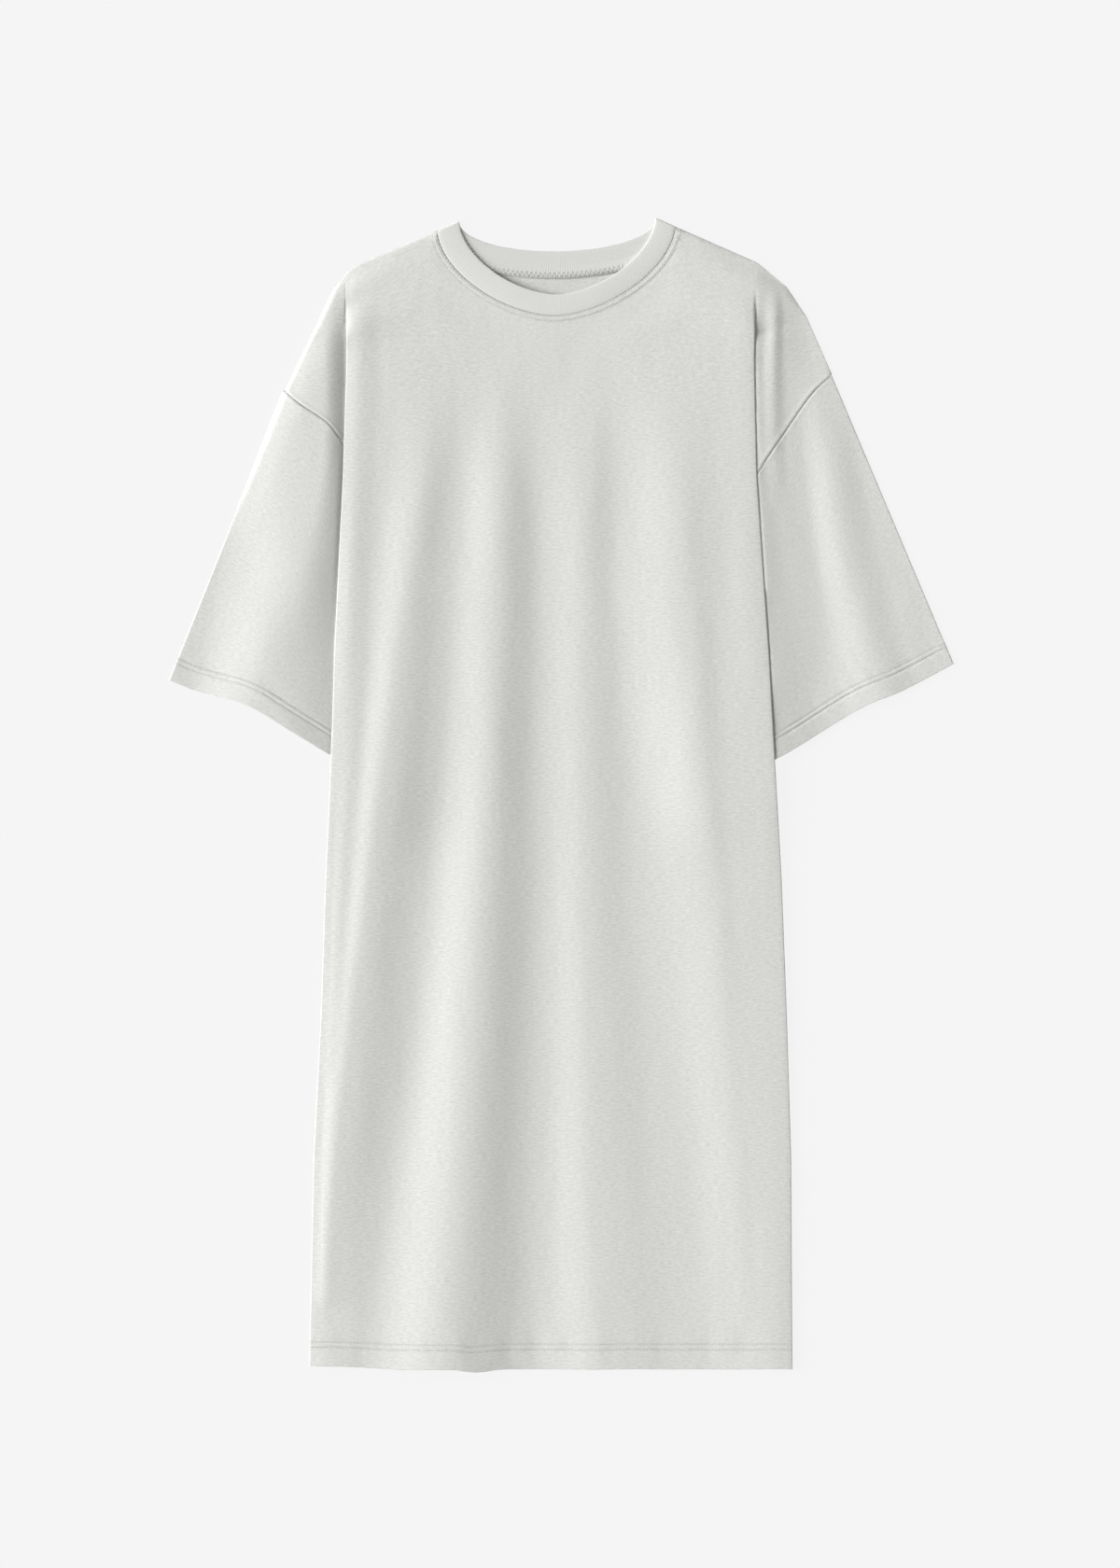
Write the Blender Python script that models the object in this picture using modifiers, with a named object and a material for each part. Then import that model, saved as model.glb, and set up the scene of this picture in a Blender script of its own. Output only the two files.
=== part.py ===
"""T-shirt dress in soft cotton jersey, laid flat with its front up.

Knee length, round rib neckband, dropped shoulders and wide short sleeves. The body is laid
narrower than it is cut: at each armhole the front and the back fold under along a straight
edge line, and the hidden sleeve underarm lies between them. Metres, +Z up, +Y toward the
neck, +X to the right as the front is seen. Left and right are as seen, not as worn.
"""
import math
from collections import namedtuple

import bpy
from mathutils import Vector

MM = 0.001

# Cloth, in millimetres
WALL = 1.2
HEM_WALL = 1.8
GAP = 0.3
SEAM_GAP = 0.4
UNDERARM_GAP = 1.6
HEM_DEPTH = 21.0
CUFF_DEPTH = 20.0

# Overall places, in millimetres; the centre is what the finished pieces are moved down by,
# so that the origin lies under the middle of the whole
HEM_Y = -554.0
SHOULDER_Y = 497.0
UNDERARM_Y = 198.0
CENTRE_Y = 1.05

# Folds under at the armholes and sides
APEX_ABOVE_SHOULDER = 12.0
TUCK_SLOPE = 0.235
TUCK_LEAST = 2.0
TURN_RUN = 0.9
FOLD_START = 100.0
FRONT_ROLL = 1.5
LOWER_ROLL = 1.1
INNER_ROLL = 1.0
BACK_ROLL = 0.9
SLEEVE_SPACE = 2.0
FLOOR_MIDDLE = WALL / 2
SEAM_ROLL = 1.0
BACK_INSET = 1.5

# How the front's height and rows settle away from its edges
SHOULDER_ROUND = 9.0
RELAX_LENGTH = 120.0
EDGE_ROLL_WIDTH = 14.0
PLATEAU_MARGIN = 10.0
PLATEAU_DECAY = 75.0
PLATEAU_RISE_Y = 360.0
PLATEAU_RISE_RUN = 60.0
SPREAD_Y = 300.0
SPREAD_RUN = 130.0
TOP_EASE = 70.0
SIDE_EASE = 60.0
SLEEVE_FALL = 42.0
RELIEF_START = 3.0
RELIEF_RUN = 20.0
OUTLINE_ROUND = 26.0

# Columns and rows of the panels
TURN_STEPS = 3
UNDER_STEPS = 2
OUTER_STEPS = 4
TIP_ROW_DROP = 112.0
UPPER_DROPS = (0, 5, 13, 24, 38, 56, 80, 112, 128, 144, 160, 180, 205, 240, 275, 299)
LOWER_YS = (168, 120, 66, 34, 2, -34, -80, -145, -225, -310, -400, -480)
HEM_STEP = 1.2
SHOULDER_REACH = 22.0

# The laid body from shoulder to hem: its side edges, the level of the layer turned under
# and the level of the front's middle
Section = namedtuple("Section", "y left right under middle")
SECTIONS = (
    Section(500, -205.7, 186.4, 8.2, 8.4),
    Section(410, -206.6, 185.4, 8.2, 8.0),
    Section(306, -210.2, 187.7, 8.2, 7.0),
    Section(136, -218.3, 199.4, 8.2, 5.6),
    Section(66, -220.4, 203.2, 9.2, 4.9),
    Section(2, -223.0, 207.0, 9.2, 4.3),
    Section(-80, -226.9, 211.7, 5.2, 3.6),
    Section(-206, -231.0, 216.5, 4.9, 2.8),
    Section(-350, -238.4, 221.0, 4.9, 2.4),
    Section(-554, -242.6, 222.2, 4.9, 2.2),
)

# Long soft folds of the front, crests and valleys by turns: place and height at the chest,
# the hip and the hem
CHEST_Y = 240.0
HIP_Y = -60.0
FOLD_FADE_TOP = 400.0
FOLD_FADE_LENGTH = 200.0
FOLD_LEAST = 9.0
Fold = namedtuple("Fold", "chest_x hip_x hem_x chest_h hip_h hem_h")
FRONT_FOLDS = (
    Fold(-178.0, -205.0, -250.0, 0.0, 1.6, 0.4),
    Fold(-143.0, -178.0, -236.0, 3.2, 5.2, 1.4),
    Fold(-106.0, -126.0, -196.0, 0.3, 1.1, 2.4),
    Fold(-62.0, -73.0, -113.0, 5.2, 8.6, 11.2),
    Fold(-16.0, -14.0, -20.0, 0.2, 0.2, 0.0),
    Fold(22.0, 22.0, 38.0, 2.2, 2.6, 4.2),
    Fold(58.0, 78.0, 136.0, 0.0, 0.0, 0.0),
    Fold(115.0, 141.0, 176.0, 2.1, 2.0, 0.8),
    Fold(156.0, 168.0, 198.0, 0.2, 0.3, 0.5),
)

# Round neck: the body's seam line and the band's edges, as flattened round curves
NECK_TILT = 0.0165
Neck = namedtuple("Neck", "middle half_width top depth power")
FRONT_SEAM = Neck(-5.0, 114.8, 545.0, 84.2, 1.7)
FRONT_INNER = Neck(-3.9, 94.5, 553.5, 72.0, 1.7)
BACK_SEAM = Neck(-4.5, 114.8, 545.0, 40.0, 2.0)
BACK_INNER = Neck(-3.9, 94.5, 553.5, 30.0, 2.0)
NECK_LOW = 4.6
NECK_HIGH = 7.4
NECK_RISE_SHARE = 0.4
BAND_OUTSIDE = 0.6
BAND_INSIDE = -1.4
LIP_TOP = -0.9
LIP_BOTTOM = -1.9
LIP_WIDTH = 8.0
LIP_START = 0.33

# Shoulder line from the neck to the sleeve seam, armhole seam from there to the underarm,
# cuff edge from the underarm to the sleeve's outer fold, the run over which the upper layer
# falls to its own level, and the crests of the soft ridges from the top down
Side = namedtuple("Side", "shoulder armhole cuff fall ridges")
Crest = namedtuple("Crest", "y x height inner outer")
LEFT = Side(
    shoulder=((-119.8, 543.1), (-196.7, 510.3), (-207.5, 501.5), (-220.1, 486.0),
              (-231.0, 463.0), (-266.9, 388.5)),
    armhole=((-266.9, 388.5), (-250.9, 375.2), (-234.5, 364.6), (-223.1, 355.8),
             (-215.4, 345.0), (-209.4, 334.8), (-184.0, 275.0), (-148.5, 198.0)),
    cuff=((-194.9, 26.1), (-221.0, 36.9), (-261.5, 61.2), (-302.9, 85.5), (-352.4, 99.9),
          (-378.5, 110.0)),
    fall=105.0,
    ridges=((Crest(500.0, -229.0, 0.0, 24.0, 14.0), Crest(430.0, -231.0, 4.8, 20.0, 40.0),
             Crest(336.0, -228.0, 5.6, 24.0, 76.0), Crest(226.0, -250.0, 6.6, 60.0, 80.0),
             Crest(150.0, -275.0, 7.6, 72.0, 72.0), Crest(20.0, -314.0, 8.4, 104.0, 52.0)),),
)
RIGHT = Side(
    shoulder=((109.8, 546.9), (193.1, 510.3), (205.7, 503.0), (218.3, 486.9),
              (236.3, 459.9), (261.0, 404.1)),
    armhole=((261.0, 404.1), (244.8, 389.7), (235.1, 377.4), (219.9, 355.3),
             (187.6, 307.0), (158.0, 253.0), (128.3, 198.0)),
    cuff=((178.7, 18.9), (207.5, 34.2), (228.2, 45.9), (286.7, 81.9), (329.0, 99.9),
          (378.5, 126.0)),
    fall=58.0,
    ridges=((Crest(500.0, 200.0, 0.0, 12.0, 13.0), Crest(420.0, 200.0, 3.3, 16.0, 16.0),
             Crest(340.0, 194.0, 3.2, 20.0, 38.0), Crest(136.0, 200.0, 3.8, 20.0, 72.0),
             Crest(10.0, 207.0, 4.2, 20.0, 80.0)),
            (Crest(420.0, 240.0, 0.0, 24.0, 30.0), Crest(343.0, 256.0, 2.6, 28.0, 34.0),
             Crest(136.0, 300.0, 2.8, 40.0, 38.0), Crest(10.0, 334.0, 3.0, 50.0, 30.0))),
)

# Steps of the sleeves and the neckband
SLEEVE_LENGTH_STEPS = 8
UNDERARM_CLEAR = 0.35
UNDERARM_SPREAD = 3.0
FRONT_COLUMNS = (4, 20)
BACK_COLUMNS = (3, 14)
SHOULDER_TURN = 0.2
CORNER_CLEAR = 2.5

JERSEY = ((0.80, 0.80, 0.78, 1.0), 0.92)
RIB = ((0.78, 0.78, 0.76, 1.0), 0.95)


def clamp(value):
    """Hold a value between 0 and 1."""
    return max(0.0, min(1.0, value))


def smooth(value):
    """Ease from 0 to 1."""
    value = clamp(value)
    return value * value * (3.0 - 2.0 * value)


def mix(start, end, share):
    """Step from one value to another."""
    return start + (end - start) * share


def hump(offset, width):
    """Round hump that is 1 at its crest and 0 a width away."""
    return math.cos(math.pi / 2 * min(1.0, abs(offset) / width)) ** 2


def curve_point(points, share):
    """Point at a share of the way along a smooth curve through some points."""
    lengths = [math.dist(a, b) for a, b in zip(points, points[1:])]
    travel = clamp(share) * sum(lengths)
    index = 0
    while index < len(lengths) - 1 and travel > lengths[index]:
        travel -= lengths[index]
        index += 1
    local = travel / lengths[index]
    before = points[max(0, index - 1)]
    start, end = points[index], points[index + 1]
    after = points[min(len(points) - 1, index + 2)]
    return tuple(
        0.5 * (2 * b + (c - a) * local + (2 * a - 5 * b + 4 * c - d) * local ** 2
               + (3 * b - a - 3 * c + d) * local ** 3)
        for a, b, c, d in zip(before, start, end, after))


def section_at(y):
    """Laid section of the body at a height, eased between the rows of the table."""
    rows = SECTIONS
    y = min(rows[0].y, max(rows[-1].y, y))
    index = 0
    while index < len(rows) - 2 and y < rows[index + 1].y:
        index += 1
    upper, lower = rows[index], rows[index + 1]
    share = (upper.y - y) / (upper.y - lower.y)
    eased = smooth(share)
    return Section(y, mix(upper.left, lower.left, share), mix(upper.right, lower.right, share),
                   mix(upper.under, lower.under, eased), mix(upper.middle, lower.middle, share))


def through_three(y, chest, hip, hem):
    """Value on the curve that passes its chest, hip and hem values."""
    total = 0.0
    knots = ((CHEST_Y, chest), (HIP_Y, hip), (HEM_Y, hem))
    for at, value in knots:
        weight = 1.0
        for other, _ in knots:
            if other != at:
                weight *= (y - other) / (at - other)
        total += value * weight
    return total


def line_height(points, x):
    """Height of a line of points at a place across."""
    ordered = sorted(points)
    if x <= ordered[0][0]:
        return ordered[0][1]
    for start, end in zip(ordered, ordered[1:]):
        if x <= end[0]:
            return mix(start[1], end[1], (x - start[0]) / (end[0] - start[0]))
    return ordered[-1][1]


def distance_to_line(x, y, points):
    """Shortest distance in plan from a place to a line of points."""
    best = math.inf
    for start, end in zip(points, points[1:]):
        across, along = end[0] - start[0], end[1] - start[1]
        share = clamp(((x - start[0]) * across + (y - start[1]) * along)
                      / (across ** 2 + along ** 2))
        best = min(best, math.dist((x, y), (mix(start[0], end[0], share),
                                            mix(start[1], end[1], share))))
    return best


def tuck_turn(y):
    """Angle through which the edge is turned under at a height."""
    return math.pi * smooth((SHOULDER_Y - y) / (0.6 * FOLD_START))


def tuck_rise(y):
    """How far the fold's layers have parted at a height, 1 where it is fully turned."""
    angle = max(tuck_turn(y), 1e-3)
    return (1.0 - math.cos(angle)) / angle * math.pi / 2


def turn_drop(y):
    """Height taken by the short run between two turns that are partly made."""
    return TURN_RUN * math.sin(tuck_turn(y))


def tuck_width(y):
    """Width of cloth turned under at a height."""
    full = TUCK_SLOPE * (SHOULDER_Y + APEX_ABOVE_SHOULDER - UNDERARM_Y)
    if y >= UNDERARM_Y:
        opened = smooth(((SHOULDER_Y - y) / FOLD_START - 0.45) / 0.55)
        return TUCK_SLOPE * (SHOULDER_Y + APEX_ABOVE_SHOULDER - y) * opened
    return max(TUCK_LEAST, full * (y - HEM_Y) / (UNDERARM_Y - HEM_Y))


def wall_at(y, is_hemmed):
    """Wall thickness at a height, doubled up where the hem is turned."""
    return HEM_WALL if is_hemmed and y < HEM_Y + HEM_DEPTH else WALL


def outside_of(side, x, y):
    """How far a place lies outside the body's laid edge."""
    section = section_at(y)
    return x - section.right if side is RIGHT else section.left - x


def tuck_lift(y):
    """Height at which the folded edge of the back carries the cloth beside it."""
    return 4 * BACK_ROLL * tuck_rise(y) + turn_drop(y)


def inner_back(side, x, y):
    """Middle of the layer under the sleeve and the dropped shoulder."""
    fall = 1.0 - smooth(outside_of(side, x, y) / SLEEVE_FALL)
    return FLOOR_MIDDLE + tuck_lift(y) * fall


def inner_front(side, x, y):
    """Middle of the upper layer of the sleeve and the dropped shoulder, with its ridges."""
    outside = outside_of(side, x, y)
    relief = sum(ridge_height(ridge, side, x, y) for ridge in side.ridges)
    outline = side.shoulder + (side.cuff[-1],)
    relief *= smooth(distance_to_line(x, y, outline) / OUTLINE_ROUND)
    relief *= smooth((outside - RELIEF_START) / RELIEF_RUN)
    fall = 1.0 - smooth(outside / side.fall)
    return FLOOR_MIDDLE + tuck_lift(y) * fall + SLEEVE_SPACE + relief


def ridge_height(ridge, side, x, y):
    """Height that a soft ridge adds at a place, from the rows of its crest."""
    if y >= ridge[0].y:
        return 0.0
    y = max(y, ridge[-1].y)
    upper, lower = next(pair for pair in zip(ridge, ridge[1:]) if pair[1].y <= y)
    share = (upper.y - y) / (upper.y - lower.y)
    crest = Crest(*(mix(a, b, share) for a, b in zip(upper, lower)))
    inward = crest.x - x if side is RIGHT else x - crest.x
    return crest.height * hump(inward, crest.inner if inward > 0 else crest.outer)


def under_level(side, y):
    """Middle of the front layer that is turned under."""
    if y >= UNDERARM_Y:
        section = section_at(y)
        edge = section.right if side is RIGHT else section.left
        inner = inner_front(side, edge, y)
        return inner + 2 * INNER_ROLL * tuck_rise(y)
    return section_at(y).under


def front_roll(y):
    """Radius of the front's side edge."""
    return mix(FRONT_ROLL, LOWER_ROLL, smooth((60.0 - y) / 120.0))


def edge_level(side, y):
    """Middle of the front just inside its side edge."""
    return under_level(side, y) + 2 * front_roll(y) * tuck_rise(y) + turn_drop(y)


def fold_relief(x, y):
    """Height of the long soft folds above the front's lowest valleys."""
    section = section_at(y)
    lines = [(section.left, 0.0)]
    for fold in FRONT_FOLDS:
        place = through_three(y, fold.chest_x, fold.hip_x, fold.hem_x)
        height = through_three(y, fold.chest_h, fold.hip_h, fold.hem_h)
        if lines[-1][0] + FOLD_LEAST < place < section.right - FOLD_LEAST:
            lines.append((place, max(0.0, height)))
    lines.append((section.right, 0.0))
    fade = smooth((FOLD_FADE_TOP - y) / FOLD_FADE_LENGTH)
    for (start, first), (end, second) in zip(lines, lines[1:]):
        if start <= x <= end:
            return fade * mix(second, first, hump(x - start, end - start))
    return 0.0


def front_height(x, y):
    """Middle of the front's top layer."""
    section = section_at(y)
    side = LEFT if x < (section.left + section.right) / 2 else RIGHT
    inward = x - section.left if side is LEFT else section.right - x
    edge = edge_level(side, y)
    sunk = mix(1.0, 0.2, smooth((y - PLATEAU_RISE_Y) / PLATEAU_RISE_RUN))
    plateau = edge - (2 * front_roll(y) - WALL - 1.4 * GAP) * tuck_rise(y) * sunk
    reach = tuck_width(y) + PLATEAU_MARGIN
    decay = PLATEAU_DECAY * (1.0 + smooth((y - SPREAD_Y) / SPREAD_RUN))
    held = 1.0 - smooth((inward - reach) / decay)
    middle = max(section.middle, 1.5 * wall_at(y, True) + GAP)
    level = mix(middle, plateau, held) + fold_relief(x, y)
    return max(level, mix(level, edge, hump(inward - front_roll(y), EDGE_ROLL_WIDTH)))


def neck_level(share):
    """Level of the front's neck seam, low at the shoulders and lifted between them."""
    return mix(NECK_LOW, NECK_HIGH, smooth(min(share, 1.0 - share) / NECK_RISE_SHARE))


def top_level(x, share):
    """Level of the front's top edge at a place across, or at a share of the neck seam."""
    if 0.0 < share < 1.0:
        return neck_level(share)
    section = section_at(SHOULDER_Y)
    side, edge = (LEFT, section.left) if x < 0 else (RIGHT, section.right)
    corner = FRONT_SEAM.middle + (FRONT_SEAM.half_width if side is RIGHT
                                  else -FRONT_SEAM.half_width)
    return mix(edge_level(side, SHOULDER_Y), NECK_LOW, clamp((x - edge) / (corner - edge)))


def bend(start, heading, turned, length, steps):
    """Points of an arc in a section: outward and down from its start, with its end heading.

    The heading is 0 outward and a quarter turn when it points inward through the cloth.
    """
    points = []
    for step in range(1, steps + 1):
        angle = turned * step / steps
        radius = length / turned
        out = radius * (math.sin(heading + angle) - math.sin(heading))
        down = radius * (math.cos(heading) - math.cos(heading + angle))
        points.append((start[0] + out, start[1] + down))
    return points


def run(start, heading, length, steps):
    """Points of a straight stretch in a section."""
    return [(start[0] + length * step / steps * math.cos(heading),
             start[1] + length * step / steps * math.sin(heading))
            for step in range(1, steps + 1)]


def row_levels():
    """Heights of the panel rows at the side edges, top to hem."""
    upper = [SHOULDER_Y - drop for drop in UPPER_DROPS]
    hem_line = HEM_Y + HEM_DEPTH
    return upper + list(LOWER_YS) + [hem_line + HEM_STEP / 2, hem_line - HEM_STEP / 2, HEM_Y]


def relax(y):
    """Share of the top edge's shape that a row still follows."""
    return 1.0 - smooth((SHOULDER_Y - y) / RELAX_LENGTH)


def relax_across(y):
    """Share of the top edge's column places that a row still follows."""
    return (1.0 - clamp((SHOULDER_Y - y) / RELAX_LENGTH)) ** 3


def row_y(side, x, y):
    """Height of a row at a place across, bent to follow the shoulder line near the top."""
    return y + (line_height(side.shoulder, x) - SHOULDER_Y) * relax(y)


def edge_reach(roll, turned):
    """How far the turned edge stands out from where its turn starts."""
    turned = max(turned, 1e-3)
    return math.pi * roll / turned * math.sin(min(turned, math.pi / 2))


def panel_ends(front, y):
    """Where the front or the back starts to turn under, left and right."""
    section = section_at(y)
    roll = front_roll(y) if front else BACK_ROLL
    back_off = edge_reach(roll, tuck_turn(y)) + (0.0 if front else BACK_INSET)
    return section.left + back_off, section.right - back_off


def side_block(side, front, y):
    """Points of one row from a side edge outward: turned edge, layer under, outer cloth."""
    way = 1 if side is RIGHT else -1
    start_x = panel_ends(front, y)[side is RIGHT]
    start_z = edge_level(side, y) if front else FLOOR_MIDDLE
    down = -1 if front else 1
    inset = 0.0 if front else BACK_INSET
    roll = front_roll(y) if front else BACK_ROLL
    inner = INNER_ROLL if front else BACK_ROLL
    turned = max(tuck_turn(y), 1e-3)
    least = TURN_RUN if y > UNDERARM_Y else TUCK_LEAST / 2
    width = max(tuck_width(y) - inset - roll, least)

    path = bend((0.0, 0.0), 0.0, turned, math.pi * roll, TURN_STEPS)
    path += run(path[-1], turned, width, UNDER_STEPS)
    if y >= UNDERARM_Y:
        path += bend(path[-1], turned, -turned, math.pi * inner, TURN_STEPS)
        points = [section_point(side, start_x + way * out, y, start_z + down * depth)
                  for out, depth in path]
        return points + outer_cloth(side, front, y, points[-1])

    seam_z = (section_at(y).under + FLOOR_MIDDLE + 2 * BACK_ROLL) / 2
    gap = mix(UNDERARM_GAP, GAP, smooth((UNDERARM_Y - y) / 90.0))
    drop = abs((start_z + down * path[-1][1]) - seam_z) - gap / 2
    seam_roll = min(SEAM_ROLL, drop * 0.7)
    path += bend(path[-1], turned, math.pi / 2 - turned, seam_roll * math.pi / 2, TURN_STEPS)
    path += run(path[-1], math.pi / 2, drop - seam_roll, OUTER_STEPS)
    return [section_point(side, start_x + way * out, y, start_z + down * depth)
            for out, depth in path]


def section_point(side, x, y, z):
    """Point of a row at a place across, on the row's bent line."""
    return (x, row_y(side, x, y), z)


def outer_cloth(side, front, y, start):
    """Points from the inner fold out to the shoulder line or the armhole seam."""
    drop = SHOULDER_Y - y
    if drop <= TIP_ROW_DROP:
        reach = shoulder_reach(side, start, drop)
    else:
        reach = armhole_end(side, drop)
    height = inner_front if front else inner_back
    mismatch = start[2] - height(side, start[0], start[1])
    points = []
    for step in range(1, OUTER_STEPS + 1):
        share = step / OUTER_STEPS
        x, place = mix(start[0], reach[0], share), mix(start[1], reach[1], share)
        points.append((x, place, height(side, x, place) + mismatch * (1.0 - share)))
    return points


def armhole_end(side, drop):
    """Point of the armhole seam where a row below the shoulder tip ends."""
    share = (drop - TIP_ROW_DROP) / (SHOULDER_Y - UNDERARM_Y - TIP_ROW_DROP)
    return curve_point(side.armhole, share ** 1.15)


def shoulder_reach(side, start, drop):
    """Point of the shoulder line where a row above the sleeve seam ends."""
    way = 1 if side is RIGHT else -1
    begin = SHOULDER_REACH + abs(side.shoulder[1][0])
    tip = side.shoulder[-1]
    x = mix(way * begin, tip[0], (drop / TIP_ROW_DROP) ** 1.3)
    return (x, line_height(side.shoulder, x))


def top_columns(front):
    """Top points of the front or back, left to right, with their shares of the neck seam."""
    neck = FRONT_SEAM if front else BACK_SEAM
    shoulder_steps, neck_steps = FRONT_COLUMNS if front else BACK_COLUMNS
    first, last = panel_ends(front, SHOULDER_Y)
    corner_left = neck.middle - neck.half_width
    corner_right = neck.middle + neck.half_width
    columns = []
    for step in range(shoulder_steps):
        x = mix(first, corner_left, step / shoulder_steps)
        columns.append((x, line_height(LEFT.shoulder, x), 0.0))
    for step in range(neck_steps + 1):
        x, y = neck_station(neck, neck_steps, step)
        columns.append((x, y, step / neck_steps))
    for step in range(1, shoulder_steps + 1):
        x = mix(corner_right, last, step / shoulder_steps)
        columns.append((x, line_height(RIGHT.shoulder, x), 1.0))
    return columns


def neck_height(neck, x):
    """Height of a neck curve at a place across."""
    share = clamp(abs(x - neck.middle) / neck.half_width)
    depth = neck.depth * (1.0 - share ** neck.power) ** (1.0 / neck.power)
    return neck.top + NECK_TILT * (x - neck.middle) - depth


def neck_station(neck, steps, station):
    """Place on a neck curve at a station, straight between whole stations."""
    lower = min(steps - 1, math.floor(station))
    ends = []
    for whole in (lower, lower + 1):
        x = neck.middle - neck.half_width * math.cos(math.pi * whole / steps)
        ends.append((x, neck_height(neck, x)))
    share = station - lower
    return (mix(ends[0][0], ends[1][0], share), mix(ends[0][1], ends[1][1], share))


def panel_rows(front):
    """All rows of the front or the back, each from the left seam to the right seam."""
    columns = top_columns(front)
    rows = []
    for y in row_levels():
        left = side_block(LEFT, front, y)
        right = side_block(RIGHT, front, y)
        first, last = panel_ends(front, y)
        top_first, top_last = columns[0][0], columns[-1][0]
        middle = []
        for index, (top_x, top_y, share) in enumerate(columns):
            level_x = mix(first, last, index / (len(columns) - 1))
            follow_x = mix(first, last, (top_x - top_first) / (top_last - top_first))
            x = mix(level_x, follow_x, relax_across(y))
            place = y + (top_y - SHOULDER_Y) * relax(y)
            is_inside = 0 < index < len(columns) - 1
            z = wall_at(y, is_inside) / 2
            if front:
                eased = smooth((SHOULDER_Y - y) / TOP_EASE)
                eased = mix(1.0, eased, smooth(min(x - first, last - x) / SIDE_EASE))
                z = mix(top_level(top_x, share), front_height(x, y), eased)
            middle.append((x, place, z, smooth(math.sin(math.pi * share) * 4.0)))
        if front:
            left = [rounded_off(point, y, 0.0, LEFT) for point in left]
            right = [rounded_off(point, y, 0.0, RIGHT) for point in right]
            middle = [rounded_off(point, y, at_neck, None) for *point, at_neck in middle]
        else:
            middle = [tuple(point) for *point, _ in middle]
        rows.append(left[::-1] + middle + right)
    return rows


def rounded_off(point, y, at_neck, side):
    """Bring the front's top rows down to the shoulder seam, apart from the neck edge."""
    x, place, z = point
    rest = WALL + GAP + (inner_back(side, x, place) if side else FLOOR_MIDDLE)
    share = clamp((SHOULDER_Y - y) / SHOULDER_ROUND)
    rounding = max(math.sqrt(1.0 - (1.0 - share) ** 2), at_neck)
    return (x, place, mix(min(z, rest), z, rounding))


def placed(point):
    """Point in metres from the middle of the dress."""
    return (Vector(point) - Vector((0.0, CENTRE_Y, 0.0))) * MM


def grid_object(name, rows, closed, material, hemmed, thin_ends):
    """Open sheet through rows of points, given its wall by Solidify.

    The hemmed rows are doubled in thickness, apart from the thin columns at each end.
    """
    across = len(rows[0])
    mesh = bpy.data.meshes.new(name)
    vertices = [placed(point) for row in rows for point in row]
    faces = []
    for upper in range(len(rows) - 1):
        for index in range(across if closed else across - 1):
            after = (index + 1) % across
            base, below = upper * across, (upper + 1) * across
            faces.append((base + index, below + index, below + after, base + after))
    mesh.from_pydata(vertices, [], faces)
    mesh.shade_smooth()
    sheet = bpy.data.objects.new(name, mesh)
    sheet.data.materials.append(material)
    thick = sheet.vertex_groups.new(name="turned_hem")
    for row in hemmed:
        thick.add(range(row * across + thin_ends, (row + 1) * across - thin_ends), 1.0, "REPLACE")
    wall = sheet.modifiers.new("wall", "SOLIDIFY")
    wall.thickness = HEM_WALL * MM
    wall.offset = 0.0
    wall.vertex_group = thick.name
    wall.thickness_vertex_group = WALL / HEM_WALL
    return sheet


def sleeve_seam(side):
    """Points of the sleeve's armhole edge, underarm to shoulder tip.

    They are the row ends of the body, with one more midway between each two.
    """
    ends = [armhole_end(side, drop) for drop in UPPER_DROPS if drop >= TIP_ROW_DROP]
    last, before = ends[-1], ends[-2]
    ends[-1] = (mix(before[0], last[0], UNDERARM_CLEAR), mix(before[1], last[1], UNDERARM_CLEAR))
    seam = [ends[-1]]
    for lower, upper in zip(ends[:0:-1], ends[-2::-1]):
        seam += [(mix(lower[0], upper[0], 0.5), mix(lower[1], upper[1], 0.5)), upper]
    return seam


def sleeve_rows(side):
    """Rings of a sleeve from the armhole seam to the cuff."""
    seam = sleeve_seam(side)
    length = math.dist(side.cuff[-1], seam[-1])
    line = 1.0 - CUFF_DEPTH / length
    half_step = HEM_STEP / 2 / length
    shares = [line * step / SLEEVE_LENGTH_STEPS for step in range(SLEEVE_LENGTH_STEPS)]
    shares += [line - half_step, line + half_step, 1.0]
    rows = []
    for share in shares:
        plan = []
        for index, start in enumerate(seam):
            cuff = curve_point(side.cuff, index / (len(seam) - 1))
            along = mix(seam_gap_share(seam, index, cuff), 1.0, share)
            plan.append((mix(start[0], cuff[0], along), mix(start[1], cuff[1], along)))
        extra = (HEM_WALL - WALL) / 2 if share > line else 0.0
        rows.append(sleeve_ring(side, plan, extra))
    return rows


def seam_gap_share(seam, index, cuff):
    """Share of the way to the cuff that clears the seam gap, taken square to the seam."""
    before, after = seam[max(0, index - 1)], seam[min(len(seam) - 1, index + 1)]
    across, along = after[0] - before[0], after[1] - before[1]
    start = seam[index]
    square = abs(across * (cuff[1] - start[1]) - along * (cuff[0] - start[0]))
    widened = max(1.0, UNDERARM_SPREAD - index / 2)
    return widened * SEAM_GAP * math.hypot(across, along) / square


def sleeve_ring(side, plan, extra):
    """Closed ring over a line in plan: front layer, outer fold, back layer, underarm.

    The extra is what the turned cuff adds to half the wall.
    """
    inset = SLEEVE_SPACE / 2 + WALL / 2
    outer = step_back(plan[-1], plan[-2], inset)
    under = step_back(plan[0], plan[1], inset)
    plan = [under] + plan[1:-1] + [outer]
    front = [(x, y, inner_front(side, x, y) + 2 * extra) for x, y in plan]
    back = [(x, y, inner_back(side, x, y) + extra) for x, y in plan]
    ring = front + turn_over(front[-1], back[-1], plan[-1], plan[-2])
    return ring + back[::-1] + turn_over(back[0], front[0], plan[0], plan[1])


def step_back(end, before, distance):
    """Move an end point back toward its neighbour."""
    share = distance / math.dist(end, before)
    return (mix(end[0], before[0], share), mix(end[1], before[1], share))


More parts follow.
